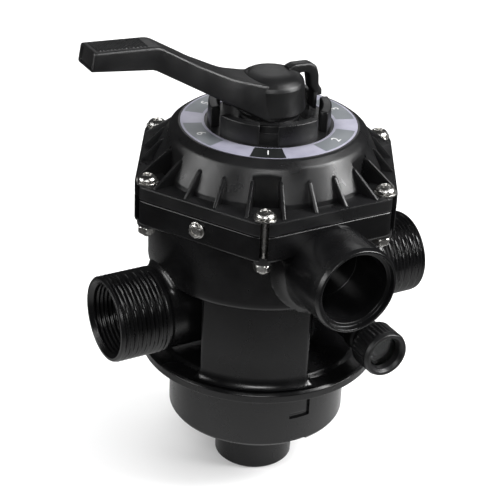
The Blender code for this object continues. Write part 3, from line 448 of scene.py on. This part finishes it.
dome = rounded([
    (9.7, 175.8, 0), (20.5, 175.8, 0.6), (20.5, 170.5, 0.3), (61.0, 170.6, 0.3), (62.4, 169.9, 1.5),
    (66.8, 166.6, 5.0), (72.6, 154.5, 16.0), (76.9, 146.0, 4.0), (77.6, 141.5, 0.2), (74.0, 136.0, 0.2),
    (64.0, 138.5, 0.2), (64.0, 148.0, 3.0), (56.0, 161.5, 3.0), (25.0, 162.0, 1.0), (24.0, 160.0, 0.2),
    (12.0, 160.0, 0.2),
    (12.0, 172.0, 0.2), (9.7, 172.0, 0.2), (9.7, 175.7, 0)], 6)
cover_flange = six_sided_slab([
    (75, COVER_LOW), (0.6, COVER_LOW), (0.1, COVER_LOW + 0.5), (0, COVER_LOW + 1.0), (0, COVER_LOW + 1.6),
    (0, COVER_TOP - 1.7), (0, COVER_TOP - 1.1), (0.3, COVER_TOP - 0.35), (1.0, COVER_TOP),
    (75, COVER_TOP + 0.05)])
dome_shell = skin(relieved(refined(dome, 1.6)), close_rows=True)
piece("cover_dome", [dome_shell, cover_flange], cover_satin, "housing", "satin_black_plastic", "cover")


def plate(outline, thick, bevel, middle=None):
    """A plate with eased edges, from a closed outline of (x, z) points, centred on y = 0.

    Each ring of the grid is the outline shrunk by an inset along the mean of its two edge
    normals; the rings run from one middle point over both bevels to the other.
    """
    ahead = np.roll(outline, -1, axis=0) - outline
    ahead /= np.linalg.norm(ahead, axis=1)[:, None]
    normal = np.stack([ahead[:, 1], -ahead[:, 0]], axis=-1)
    mitre = normal + np.roll(normal, 1, axis=0)
    mitre /= np.clip((mitre * normal).sum(axis=1), 0.4, None)[:, None]
    turn = np.cross(ahead, np.roll(ahead, -1, axis=0)).sum()
    mitre *= np.sign(turn)
    middle = outline.mean(axis=0) if middle is None else np.array(middle)
    half = thick / 2
    rings = [(None, -half), (bevel, -half), (bevel * 0.3, bevel * 0.3 - half), (0, bevel - half),
             (0, half - bevel), (bevel * 0.3, half - bevel * 0.3), (bevel, half), (None, half)]
    grid = []
    for inset, depth in rings:
        ring = middle + 0 * outline if inset is None else outline - mitre * inset
        grid.append(np.stack([ring[:, 0], depth + 0 * ring[:, 0], ring[:, 1]], axis=-1))
    return np.array(grid)


def spun(grid, angle):
    """A grid turned about the Z axis."""
    turn = np.array([[np.cos(angle), np.sin(angle), 0], [-np.sin(angle), np.cos(angle), 0], [0, 0, 1]])
    return grid @ turn


# ---- Cover fins -----------------------------------------------------------------------------
# Twenty-four thin upright fins stiffen the cover between dome and flange, four to each face.
# They are moulded with the cover and have a rounded outer edge, eased all round.

fins = []
for corner in np.degrees(corner_angles):
    for step, foot in ((-22.5, 85.6), (-7.5, 91.6), (7.5, 91.6), (22.5, 85.6)):
        side = rounded([(64.6, 141.5, 0), (foot, 141.5, 0), (foot, 143.6, 0.8), (72.6, 158.6, 1.4),
                        (66.0, 160.5, 1.0), (64.6, 158.0, 0)], 5)
        fins.append(skin(spun(plate(side, 2.4, 0.55), np.radians(corner + step))))
piece("cover_fins", fins, cover_satin, "housing", "satin_black_plastic", "cover")


# ---- Notched crown --------------------------------------------------------------------------
# Six upright arcs round the shaft, moulded with the cover. The notches between them mark the
# six positions of the valve, and the handle's finger passes just over them.

def crown_arc(corner):
    """One arc: a rounded section swept from notch to notch, its ends kept parallel to the notches."""
    section = rounded([
        (CROWN_INNER, 169.5, 0), (CROWN_OUTER, 169.5, 0), (CROWN_OUTER - 0.3, CROWN_TOP, 0.9),
        (CROWN_INNER + 0.3, CROWN_TOP, 0.9), (CROWN_INNER, 169.6, 0)], 5)
    centre = section.mean(axis=0)
    share = np.concatenate([[0, 0, 0.012], np.linspace(0.03, 0.97, 18), [0.988, 1, 1]])
    size = np.concatenate([[0, 0.86, 0.96], np.ones(18), [0.96, 0.86, 0]])
    ring = centre + (section - centre) * size[:, None, None]
    radius, height = ring[..., 0], ring[..., 1]
    edge = np.arcsin(NOTCH_HALF / radius)
    angle = edge + (np.pi / 3 - 2 * edge) * share[:, None] + corner
    return skin(np.stack([radius * np.cos(angle), radius * np.sin(angle), height], axis=-1))


piece("notched_crown", [crown_arc(corner) for corner in corner_angles], cover_satin, "housing",
      "satin_black_plastic", "cover")


# ---- Label ring -----------------------------------------------------------------------------
# A thin printed sheet in the seat round the crown, with one field for each position. The fields
# are a little darker than the ground, the one in use is nearly black, and each has its number.

LABEL_INNER, LABEL_OUTER, LABEL_LOW, LABEL_FACE = 43.6, 59.6, 170.3, 170.9

label_ground = finish(
    "label_sheet", (0.200, 0.197, 0.250), (0.290, 0.285, 0.345), (0.30, 0.42), 900.0, 0.00002, specular=0.5)
field_print = finish(
    "label_field_print", (0.085, 0.095, 0.105), (0.125, 0.135, 0.145), (0.32, 0.42), 900.0, 0.00001)
front_field_print = finish(
    "label_front_field_print", (0.007, 0.008, 0.008), (0.011, 0.012, 0.012), (0.32, 0.42), 900.0, 0.00001)
pale_print = finish(
    "label_pale_print", (0.50, 0.50, 0.50), (0.58, 0.58, 0.58), (0.35, 0.45), 900.0, 0.00001)

label = rounded([
    (LABEL_INNER, LABEL_LOW, 0), (LABEL_OUTER, LABEL_LOW, 0), (LABEL_OUTER, LABEL_FACE, 0.15),
    (LABEL_INNER, LABEL_FACE, 0.15), (LABEL_INNER, LABEL_LOW + 0.1, 0)], 3)
piece("label_plate_sheet", [skin(turned(label, 144), close_rows=True)], label_ground, "housing",
      "label_grey", "label_plate")


def label_patch(middle, half_angle, inner, outer, low, high):
    """A patch of print with its own slight thickness: a closed arc of a ring."""
    angles = np.radians(middle + half_angle * np.linspace(-1, 1, 16))
    section = np.array([(inner, low), (outer, low), (outer, high), (inner, high)])
    ends = np.concatenate([[0], np.ones(16), [0]])[:, None]
    centre = section.mean(axis=0)
    angles = np.concatenate([angles[:1], angles, angles[-1:]])[:, None]
    radius = centre[0] + (section[:, 0] - centre[0]) * ends
    height = centre[1] + (section[:, 1] - centre[1]) * ends
    return skin(np.stack([radius * np.cos(angles), radius * np.sin(angles), height], axis=-1))


def number_shell(text, size, thick, place, turn):
    """A raised figure: the built-in letter outline made a mesh, centred, turned and put in place."""
    letter = bpy.data.curves.new("figure", "FONT")
    letter.body, letter.size, letter.extrude = text, size, thick / 2
    letter.align_x, letter.align_y = "CENTER", "CENTER"
    holder = bpy.data.objects.new("figure", letter)
    mesh = holder.to_mesh()
    points = np.empty(len(mesh.vertices) * 3)
    mesh.vertices.foreach_get("co", points)
    faces = [list(face.vertices) for face in mesh.polygons]
    points = spun(points.reshape(-1, 3), turn) + np.array(place)
    holder.to_mesh_clear()
    bpy.data.objects.remove(holder)
    bpy.data.curves.remove(letter)
    return points, faces


def printed(name, shells, material):
    """Figures joined into one mesh that rides on the housing."""
    mesh = bpy.data.meshes.new(name)
    starts = np.cumsum([0] + [len(points) for points, _ in shells])
    faces = [[corner + start for corner in face]
             for (_, group), start in zip(shells, starts) for face in group]
    mesh.from_pydata((np.vstack([points for points, _ in shells]) * 0.001).tolist(), [], faces)
    mesh.materials.append(material)
    thing = bpy.data.objects.new(name, mesh)
    bpy.context.scene.collection.objects.link(thing)
    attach(thing, "housing")


FRONT = 240
fields = [label_patch(angle, 20.0, 45.6, 58.2, LABEL_FACE - 0.02, LABEL_FACE + 0.06)
          for angle in range(0, 360, 60) if angle != FRONT]
piece("label_fields", fields, field_print, "housing", "label_grey")
piece("label_front_field", [label_patch(FRONT, 11.5, 44.4, 59.2, LABEL_FACE - 0.02, LABEL_FACE + 0.07)],
      front_field_print, "housing", "label_grey")
figures = []
for count, angle in enumerate(range(0, 360, 60)):
    turn = np.radians(angle)
    place = (51.4 * np.cos(turn), 51.4 * np.sin(turn), LABEL_FACE + 0.08)
    figures.append(number_shell(str(1 + (count + 2) % 6), 9.0, 0.12, place, turn + np.pi / 2))
printed("label_figures", figures, pale_print)


# ---- Cover screws, washers and nuts ---------------------------------------------------------
# Six stainless pan-head screws with cross recesses, each through a flat washer, both flanges
# and a plain nut. The screw's point stands out below the nut.

stainless = finish(
    "stainless_steel", (0.50, 0.49, 0.47), (0.72, 0.71, 0.69), (0.16, 0.34), 2600.0, 0.00003, metallic=1.0)

SCREW_RADIUS, HEAD_RADIUS, HEAD_LOW, HEAD_TOP = 3.2, 6.3, 144.8, 149.0
SCREW_POINT, NUT_LOW, NUT_TOP, NUT_FLAT = 103.5, 106.7, 111.7, 5.5

screw_side = rounded([
    (0, HEAD_TOP, 0), (2.8, HEAD_TOP - 0.15, 2.0), (5.2, HEAD_TOP - 1.3, 2.0),
    (HEAD_RADIUS, HEAD_TOP - 2.8, 0.8),
    (HEAD_RADIUS, HEAD_LOW + 0.3, 0.3), (HEAD_RADIUS - 0.4, HEAD_LOW, 0.2), (SCREW_RADIUS, HEAD_LOW, 0.1),
    (SCREW_RADIUS, SCREW_POINT + 1.6, 0.3), (1.6, SCREW_POINT, 0.6), (0, SCREW_POINT, 0)], 5)


def cross_recess(grid, turn):
    """The head's top pressed in along two crossed arms, deepest in the middle and square-edged."""
    x, y = grid[..., 0], grid[..., 1]
    u, v = np.abs(x * np.cos(turn) + y * np.sin(turn)), np.abs(y * np.cos(turn) - x * np.sin(turn))
    arm = np.clip((0.95 - np.minimum(u, v)) / 0.25, 0, 1) * np.clip((3.3 - np.maximum(u, v)) / 0.4, 0, 1)
    deep = arm * (2.3 - 0.35 * np.maximum(u, v))
    grid = grid.copy()
    grid[..., 2] -= np.where(grid[..., 2] > HEAD_TOP - 2.0, deep, 0)
    return grid


head_share = refined(screw_side, 0.28)
washer_side = rounded([
    (3.7, 143.3, 0), (7.6, 143.3, 0), (7.6, 144.5, 0.35), (3.7, 144.5, 0.2), (3.7, 143.4, 0)], 4)
nut_turns = np.linspace(0, 2 * np.pi, 96, endpoint=False)
nut_flats = NUT_FLAT / np.cos((nut_turns + np.pi / 6) % (np.pi / 3) - np.pi / 6)
nut_levels = np.array([0, 0, 0.5, 1.2])
nut_levels = np.concatenate([NUT_LOW + nut_levels, NUT_TOP - nut_levels[::-1]])
nut_limits = np.array([3.5, 5.4, 5.9, 9.0, 9.0, 5.9, 5.4, 3.5])
for number, angle in enumerate(corner_angles, 1):
    at = {"x": BOLT_CIRCLE * np.cos(angle), "y": BOLT_CIRCLE * np.sin(angle)}
    screw = cross_recess(turned(head_share, 72), 0.35 + 1.1 * number)
    piece("screw_%d" % number, [moved(skin(screw), **at)], stainless, "housing", "stainless_steel",
          "cover_screw_%d" % number, crease=30)
    ring = turned(washer_side, 60)
    piece("washer_%d" % number, [moved(skin(ring, close_rows=True), **at)], stainless, "housing",
          "stainless_steel", "cover_washer_%d" % number, crease=30)
    reach = np.minimum(nut_flats, nut_limits[:, None])
    twist = nut_turns + 0.4 * number
    nut = np.stack([reach * np.cos(twist), reach * np.sin(twist), nut_levels[:, None] + 0 * reach], axis=-1)
    piece("nut_%d" % number, [moved(skin(nut, close_rows=True), **at)], stainless, "housing",
          "stainless_steel", "cover_nut_%d" % number, crease=25)


# ---- Gauge plug -----------------------------------------------------------------------------
# A small plated plug with a six-sided head that closes the pressure gauge's hole in one face.

PLUG_HEIGHT, PLUG_TOWARD = 125.0, np.radians(210)

plug_rows = np.array([
    (3.7, 80.6), (3.7, 86.9), (5.5, 86.9), (5.6, 87.3), (5.2, 87.6), (9.0, 87.6), (9.0, 89.2), (4.4, 89.6),
    (3.4, 90.0), (2.4, 90.0), (2.2, 89.3)])
plug_flats = 4.4 / np.cos((nut_turns + np.pi / 6) % (np.pi / 3) - np.pi / 6)
plug_radius = np.minimum(np.where(plug_rows[:, :1] > 8, plug_flats, plug_rows[:, :1]), 5.6)
plug_grid = np.stack([plug_radius * np.cos(nut_turns), plug_radius * np.sin(nut_turns),
                      plug_rows[:, 1:] + 0 * nut_turns], axis=-1)
plug_ends = [plug_grid[:1] * [0, 0, 1], plug_grid, plug_grid[-1:] * [0, 0, 1]]
piece("gauge_plug_fitting", [skin(aimed(np.concatenate(plug_ends), PLUG_TOWARD, PLUG_HEIGHT))], stainless,
      "housing", "stainless_steel", "gauge_plug", crease=30)


# ---- Sight glass ----------------------------------------------------------------------------
# A small neck from the right port that shows whether the water runs clear. A ribbed black
# collar is pushed over the neck's cup and holds the lens on its gasket.

SIGHT_ASIDE, SIGHT_HEIGHT, SIGHT_BOSS_END, CUP_FACE, COLLAR_FACE = 43.0, 31.0, 36.0, 86.5, 100.0
FACING_FRONT = -np.pi / 2

def sight_grid(grid):
    """A grid drawn along +Z put on the sight glass's axis."""
    return aimed(grid, FACING_FRONT, SIGHT_HEIGHT, SIGHT_ASIDE)


def ribbed(grid, count, depth, inner, low, high):
    """Fine ribs along a turned grid: a cosine round the axis, where over inner and between two heights."""
    angle = np.arctan2(grid[..., 1], grid[..., 0])
    out = np.hypot(grid[..., 0], grid[..., 1])
    where = (out > inner) * within(grid[..., 2], low, high, 1.0)
    change = 1 - depth * where * (0.5 + 0.5 * np.cos(count * angle)) / np.clip(out, 1, None)
    grid = grid.copy()
    grid[..., :2] *= change[..., None]
    return grid


boss_side = rounded([
    (0, 12, 0), (13.0, 12, 0), (11.6, 30, 8.0), (11.2, SIGHT_BOSS_END, 0.5), (0, SIGHT_BOSS_END, 0)])
piece("sight_boss", [skin(sight_grid(turned(boss_side, 72)))], body_gloss, "housing", "glossy_black_plastic",
      "valve_body")
neck_side = refined(rounded([
    (7.0, 36.3, 0), (11.0, 36.3, 0), (11.0, 62, 1.0), (12.4, 64, 1.0), (12.4, 72, 1.0), (11.0, 74, 1.0),
    (11.2, 75.6, 1.0), (13.2, 79.0, 0.8), (13.2, CUP_FACE, 0.4), (7.0, CUP_FACE, 0.4),
    (7.0, 36.4, 0)], 5), 1.2)
neck_grid = ribbed(turned(neck_side, 144), 24, 1.0, 9.0, 38.0, 61.0)
piece("sight_neck", [skin(sight_grid(neck_grid), close_rows=True)], cover_satin, "housing",
      "satin_black_plastic", "sight_glass_neck")
collar_side = refined(rounded([
    (13.5, 80.1, 0), (15.6, 80.1, 0.4), (16.4, 81.6, 0.6), (16.5, 97.2, 0.8), (15.4, COLLAR_FACE, 1.2),
    (13.2, COLLAR_FACE - 0.2, 0.8), (11.6, 97.6, 0.8), (11.0, 93.2, 0.3), (13.5, 93.0, 0.1),
    (13.5, 80.2, 0)], 6), 1.2)
collar_grid = ribbed(turned(collar_side, 192), 32, 0.8, 14.8, 82.5, 96.0)
piece("sight_collar", [skin(sight_grid(collar_grid), close_rows=True)], cover_satin, "housing",
      "satin_black_plastic", "sight_glass_collar")

lens_plastic = bpy.data.materials.new("lens_clear")
lens_plastic.use_nodes = True
lens = lens_plastic.node_tree.nodes["Principled BSDF"]
lens.inputs["Base Color"].default_value = (0.86, 0.90, 0.90, 1)
lens.inputs["Transmission Weight"].default_value = 1.0
lens.inputs["IOR"].default_value = 1.49
lens_plastic.node_tree.links.new(drift(lens_plastic, 160.0, 0.04, 0.12), lens.inputs["Roughness"])
lens_side = rounded([(0, 88.7, 0), (13.2, 88.7, 0.2), (13.2, 91.6, 0.3), (9.0, 92.5, 3.0), (0, 92.7, 0)])
piece("sight_lens", [skin(sight_grid(turned(lens_side, 72)))], lens_plastic, "housing", "lens_clear",
      "sight_glass_lens")


# ---- Handle ---------------------------------------------------------------------------------
# One satin black moulding: a raised grip with a textured top, an arm that drops and widens to
# the round hub, and a strap over the hub's back. The strap's finger stays above the crown, and
# its nose reaches down inside the crown's ring.

HUB_RADIUS = 23.8
GRIP_END, GRIP_END_TOP = -131.5, 242.6
GRIP_BEND, GRIP_BEND_TOP = -87.0, 240.2

handle_satin = finish(
    "handle_plastic", (0.0052, 0.0052, 0.0055), (0.0088, 0.0088, 0.0092), (0.30, 0.43), 2400.0, 0.00004,
    specular=0.45)


def rail(corners, stations):
    """One edge line of the handle, corners eased, sampled evenly along its own length."""
    line = rounded(corners, 9)
    steps = np.linalg.norm(np.diff(line, axis=0), axis=1)
    travelled = np.concatenate([[0], np.cumsum(steps)]) / steps.sum()
    return np.stack([np.interp(stations, travelled, line[:, axis]) for axis in (0, 1)], axis=-1)


def swept(top, bottom, half_width, ease, end_inset, end_depth, draft=0.0):
    """A bar between two edge lines with a rounded oblong section, closed at both ends.

    Every section runs round four quarter-circle corners of the ease radius, and its top is
    narrower than its foot by the draft's share. At the first end the section shrinks over a
    small bevel, then steps inward to a panel of the given depth.
    """
    quarter = np.linspace(0, np.pi / 2, 6)
    turn = np.concatenate([quarter, quarter + np.pi / 2, quarter + np.pi, quarter + 3 * np.pi / 2])
    side = np.sign(np.cos(turn.reshape(4, 6).mean(axis=1))).repeat(6)
    rise = np.sign(np.sin(turn.reshape(4, 6).mean(axis=1))).repeat(6)
    middle, upward = (top + bottom) / 2, (top - bottom) / 2
    half_height = np.linalg.norm(upward, axis=1)[:, None]
    upward = upward / half_height
    half_width, ease = half_width[:, None], ease[:, None]
    across = side * (half_width - ease) + ease * np.cos(turn)
    high = rise * (half_height - ease) + ease * np.sin(turn)
    across = across * (1 - np.reshape(draft, (-1, 1)) * (0.5 + 0.5 * high / half_height))
    reach, height = middle[:, :1] + upward[:, :1] * high, middle[:, 1:] + upward[:, 1:] * high
    points = np.stack([reach, across, height], axis=-1)
    centre = points.mean(axis=1, keepdims=True)
    inward = points[3:4].mean(axis=1, keepdims=True) - centre[:1]
    inward = inward / np.linalg.norm(inward)
    start = [
        (0.0, end_depth), (1 - end_inset - 0.04, end_depth), (1 - end_inset, 0.0), (0.94, 0.0), (0.985, 0.35)]
    start = [centre[:1] + (points[:1] - centre[:1]) * size + inward * depth for size, depth in start]
    points[:1] += inward * 1.2
    return np.concatenate(start + [points, centre[-1:] + 0 * points[-1:]])


stations = np.linspace(0, 1, 60)
arm_top = rail([
    (GRIP_END, GRIP_END_TOP, 0), (GRIP_BEND, GRIP_BEND_TOP, 14), (-58.0, 223.0, 60), (-34.0, 210.8, 60),
    (-14.0, 204.6, 30), (0, 202.6, 0)], stations)
arm_bottom = rail([
    (-133.6, 230.2, 0), (-90.5, 225.0, 10), (-51.5, 202.0, 40), (-28.5, 188.6, 40), (-10.7, 178.6, 1.0),
    (0, 181.6, 0)], stations)
arm_half = np.interp(
    stations, [0, 0.32, 0.56, 0.78, 0.90, 0.96, 1], [11.3, 11.3, 12.5, 16.4, 20.6, 22.6, 23.0])
arm_ease = np.interp(stations, [0, 0.3, 1], [1.8, 2.0, 2.2])
arm_draft = np.interp(stations, [0, 0.5, 0.75, 1], [0.02, 0.06, 0.18, 0.20])
arm = swept(arm_top, arm_bottom, arm_half, arm_ease, 0.22, 1.3, arm_draft)

hub_side = rounded([
    (0, 207.9, 0), (12.5, 207.3, 60), (18.2, 205.2, 30), (21.6, 202.0, 4.0), (HUB_RADIUS - 1.4, 199.6, 2.0),
    (HUB_RADIUS, 182.4, 0.8), (21.6, 181.5, 0.5), (0, 181.5, 0)])
hub = turned(refined(hub_side, 1.2), 144)
hub_angle = np.arctan2(hub[..., 1], hub[..., 0])
hub_out = np.hypot(hub[..., 0], hub[..., 1])
crescent = np.clip(1.6 * np.cos(hub_angle - 1.4) - 0.2, 0, 1)      # a groove 1 mm deep on one side
hub[..., 2] -= within(hub_out, 14.6, 16.8, 0.8) * (hub[..., 2] > 200) * crescent

finger_stations = np.linspace(0, 1, 40)
strap_outer = rail([
    (11.5, 208.6, 0), (16.0, 210.2, 4), (28.0, 209.6, 6), (33.2, 206.6, 6), (35.2, 200.0, 5),
    (35.6, 193.0, 4), (38.3, 189.0, 3), (38.4, 185.5, 0)], finger_stations)
strap_inner = rail([
    (11.5, 203.4, 0), (16.0, 202.6, 3), (23.0, 203.4, 3), (26.8, 201.6, 4), (27.8, 196.0, 4),
    (28.4, 192.0, 4), (31.2, 188.4, 3), (31.5, 185.5, 0)], finger_stations)
strap = swept(strap_outer, strap_inner, 4.0 + 0 * finger_stations, 1.8 + 0 * finger_stations, 0.1, 0.0)
nose_side = rounded([
    (31.5, 187.5, 0), (31.5, 177.0, 0.3), (32.2, 176.0, 0.6), (33.6, 176.0, 0.6), (34.2, 177.2, 0.4),
    (34.2, 187.5, 0)], 4)
nose = plate(nose_side, 8.4, 0.5)
handle = piece("handle_moulding", [skin(arm), skin(hub), skin(strap), skin(nose)], handle_satin, "lever",
               "handle_plastic", "handle")

# The slot under the hub that lets the shaft's head rock as the lever is pressed. The cut also
# joins arm, hub, strap and nose into one solid.
SLOT_REACH, SLOT_SIDE, SLOT_FOOT, SLOT_ROOF = 13.6, 9.7, 170.0, 204.4
slot_ring = np.array([(-SLOT_REACH, -SLOT_SIDE), (SLOT_REACH, -SLOT_SIDE), (SLOT_REACH, SLOT_SIDE),
                      (-SLOT_REACH, SLOT_SIDE)])
slot_rows = [(0, SLOT_FOOT), (1, SLOT_FOOT), (1, SLOT_ROOF), (0, SLOT_ROOF)]
slot_grid = np.array([np.column_stack([slot_ring * size, np.full(4, height)]) for size, height in slot_rows])
slot_cutter = bpy.data.objects.new("shaft_slot", closed_mesh("shaft_slot", [skin(slot_grid)]))
bpy.context.scene.collection.objects.link(slot_cutter)
cut = handle.modifiers.new("shaft_slot", "BOOLEAN")
cut.operation, cut.object, cut.use_self = "DIFFERENCE", slot_cutter, True
bpy.context.view_layer.update()
solid = bpy.data.meshes.new_from_object(handle.evaluated_get(bpy.context.evaluated_depsgraph_get()))
handle.modifiers.clear()
handle.data = solid
solid.set_sharp_from_angle(angle=np.radians(38))
bpy.data.objects.remove(slot_cutter)


# ---- Grip texture ---------------------------------------------------------------------------
# A panel of small raised diamonds on the flat top of the grip, moulded in one with the handle.

PANEL_START, PANEL_END, PANEL_HALF = -129.0, -93.0, 8.6

along = np.linspace(PANEL_START, PANEL_END, 150)
along, across = np.meshgrid(along, np.linspace(-PANEL_HALF, PANEL_HALF, 76))
edge_fade = within(along, PANEL_START, PANEL_END, 1.0) * within(across, -PANEL_HALF, PANEL_HALF, 1.0)
diamonds = np.abs(np.sin((along + across) * 1.25) * np.sin((along - across) * 1.25)) ** 0.6
top_slope = (GRIP_BEND_TOP - GRIP_END_TOP) / (GRIP_BEND - GRIP_END)
surface = GRIP_END_TOP + (along - GRIP_END) * top_slope
panel_top = np.stack([along, across, surface - 0.5 + edge_fade * (0.55 + 0.55 * diamonds)], axis=-1)
panel_under = np.stack([along, across, surface - 1.2 + 0 * along], axis=-1)[::-1]
panel = np.concatenate([panel_top, panel_under])
ends = [panel[:, side].mean(axis=0) + 0 * panel[:, side] for side in (slice(0, 1), slice(-1, None))]
panel = np.concatenate([ends[0], panel, ends[1]], axis=1)
piece("grip_texture", [skin(panel, close_rows=True, close_columns=False)], handle_satin, "lever",
      "handle_plastic")


# ---- Seals, spring and diverter -------------------------------------------------------------
# What moves and seals inside: black rubber rings and gasket, a white acetal diverter, a steel
# spring between two steel washers, and the steel pin that the handle turns on. The spring
# shortens from its lower end as the diverter lifts.

seal_rubber = finish(
    "seal_rubber", (0.010, 0.010, 0.010), (0.020, 0.020, 0.020), (0.48, 0.66), 1400.0, 0.00004, specular=0.3)
diverter_acetal = finish(
    "diverter_acetal", (0.60, 0.59, 0.55), (0.70, 0.69, 0.65), (0.34, 0.48), 1500.0, 0.00003)
washer_nylon = finish(
    "washer_nylon", (0.012, 0.012, 0.012), (0.020, 0.020, 0.021), (0.36, 0.50), 1800.0, 0.00003)
spring_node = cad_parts["spring"]
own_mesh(spring_node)
for material, words in (
        (seal_rubber, ("o_ring", "gasket")), (diverter_acetal, ("diverter",)),
        (washer_nylon, ("handle_washer",)), (stainless, ("spring", "handle_pin"))):
    for name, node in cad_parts.items():
        if any(word in name for word in words) and not node.hide_render:
            for place in node.material_slots:
                place.material = material


# ---- Camera, lights and floor ---------------------------------------------------------------
# A pale studio floor under the socket, large soft lights, and the camera in front of the
# handle's side, looking down on the valve.

LENS, DISTANCE, LOOK_DOWN, LOOK_TURN, ROLL = 115.2, 1.11931, 28.17, -30.0, 2.68
AIM_HEIGHT, AIM_ASIDE = 0.07213, -0.0087

camera_data = bpy.data.cameras.new("camera")
camera_data.lens, camera_data.sensor_width, camera_data.clip_end = LENS, 36.0, 50.0
camera = bpy.data.objects.new("camera", camera_data)
down = np.radians(LOOK_DOWN)
camera.matrix_world = (
    Matrix.Rotation(np.radians(LOOK_TURN), 4, "Z")
    @ Matrix.Translation((AIM_ASIDE, -DISTANCE * np.cos(down), DISTANCE * np.sin(down) + AIM_HEIGHT))
    @ Matrix.Rotation(np.pi / 2 - down, 4, "X") @ Matrix.Rotation(np.radians(ROLL), 4, "Z"))
bpy.context.scene.collection.objects.link(camera)
bpy.context.scene.camera = camera
bpy.context.scene.view_settings.view_transform = "Standard"

# What the floor near the valve, the floor farther off and the sky give back to the valve: for every ray but
# the camera's, the floor's colour is a painted pool of light near the valve that fades to painted shade
# farther off.
NEAR_PAINTED_LIGHT, FAR_PAINTED_SHADE, SKY_BOUNCE = 0.50, 0.02, 0.03
FLOOR_SEEN, SKY_SEEN = 0.94, 0.97


def ramp(node, start, end, low, high):
    """Sets a Map Range node to rise or fall evenly from low at start to high at end."""
    for socket, value in (("From Min", start), ("From Max", end), ("To Min", low), ("To Max", high)):
        node.inputs[socket].default_value = value


floor_paint = bpy.data.materials.new("floor_paint")
floor_paint.use_nodes = True
paint = floor_paint.node_tree.nodes["Principled BSDF"]
paint.inputs["Roughness"].default_value = 0.9
paint.inputs["Specular IOR Level"].default_value = 0.1
paint.inputs["Emission Color"].default_value = (1, 1, 1, 1)
seen, shade, place, reach, painted_pool, pale, far_only = new_nodes(
    floor_paint, "LightPath", "Mix", "TexCoord", "VectorMath", "MapRange", "MapRange", "Math")
shade.data_type = "RGBA"
shade.inputs["B"].default_value = (FLOOR_SEEN, FLOOR_SEEN, FLOOR_SEEN, 1)
reach.operation = "LENGTH"
far_only.operation = "MULTIPLY"
# Painted light: a bright pool painted on the floor round the valve, fading to painted shade by 0.42 m. Only
# the valve's reflections and bounce light see it.
ramp(painted_pool, 0.16, 0.42, NEAR_PAINTED_LIGHT, FAR_PAINTED_SHADE)
ramp(pale, 0.7, 2.2, 0.0, 1.0)
join = floor_paint.node_tree.links.new
join(place.outputs["Object"], reach.inputs[0])
join(reach.outputs["Value"], painted_pool.inputs["Value"])
join(painted_pool.outputs["Result"], shade.inputs["A"])
join(seen.outputs["Is Camera Ray"], shade.inputs["Factor"])
join(shade.outputs["Result"], paint.inputs["Base Color"])
join(reach.outputs["Value"], pale.inputs["Value"])
join(pale.outputs["Result"], far_only.inputs[0])
join(seen.outputs["Is Camera Ray"], far_only.inputs[1])
join(far_only.outputs["Value"], paint.inputs["Emission Strength"])
floor_mesh = bpy.data.meshes.new("floor")
floor_half, floor_level = 6.0, cad_box[0][2] - 0.0001
floor_corners = [(-1, -1), (1, -1), (1, 1), (-1, 1)]
floor_mesh.from_pydata(
    [(x * floor_half, y * floor_half, floor_level) for x, y in floor_corners], [], [(0, 1, 2, 3)])
floor_mesh.materials.append(floor_paint)
floor = bpy.data.objects.new("floor", floor_mesh)
bpy.context.scene.collection.objects.link(floor)

world = bpy.data.worlds.new("studio")
world.use_nodes = True
sky = world.node_tree.nodes["Background"]
seen, shade = new_nodes(world, "LightPath", "Mix")
shade.data_type = "RGBA"
shade.inputs["A"].default_value = (SKY_BOUNCE, SKY_BOUNCE, SKY_BOUNCE, 1)
shade.inputs["B"].default_value = (SKY_SEEN, SKY_SEEN, SKY_SEEN, 1)
world.node_tree.links.new(seen.outputs["Is Camera Ray"], shade.inputs["Factor"])
world.node_tree.links.new(shade.outputs["Result"], sky.inputs["Color"])
bpy.context.scene.world = world


def softbox(name, place, aim, width, height, watts, mirrored=True):
    """A rectangular lamp that faces the aim point; one that isn't mirrored leaves no gloss."""
    lamp = bpy.data.lights.new(name, "AREA")
    lamp.shape, lamp.size, lamp.size_y, lamp.energy = "RECTANGLE", width, height, watts
    holder = bpy.data.objects.new(name, lamp)
    holder.visible_glossy = mirrored
    away = np.array(place, float) - np.array(aim, float)
    heading, tilt = np.arctan2(away[1], away[0]), np.arctan2(np.hypot(away[0], away[1]), away[2])
    holder.matrix_world = (
        Matrix.Translation(place) @ Matrix.Rotation(heading, 4, "Z") @ Matrix.Rotation(tilt, 4, "Y"))
    bpy.context.scene.collection.objects.link(holder)


softbox("overhead", (0.0, 0.2, 1.9), (0, 0, 0), 3.2, 3.2, 60.0, mirrored=False)
softbox("front_high", (-0.67, -1.17, 0.92), (0, 0, 0.12), 0.5, 0.6, 9.0)
softbox("left_back", (-1.41, 0.30, 0.60), (0, 0, 0.12), 0.6, 1.0, 13.0)
softbox("right_front", (1.08, -0.80, 0.90), (0, 0, 0.12), 1.3, 0.5, 44.0)
softbox("rim_back", (0.70, 1.18, 0.84), (0, 0, 0.1), 0.7, 0.6, 1.3)
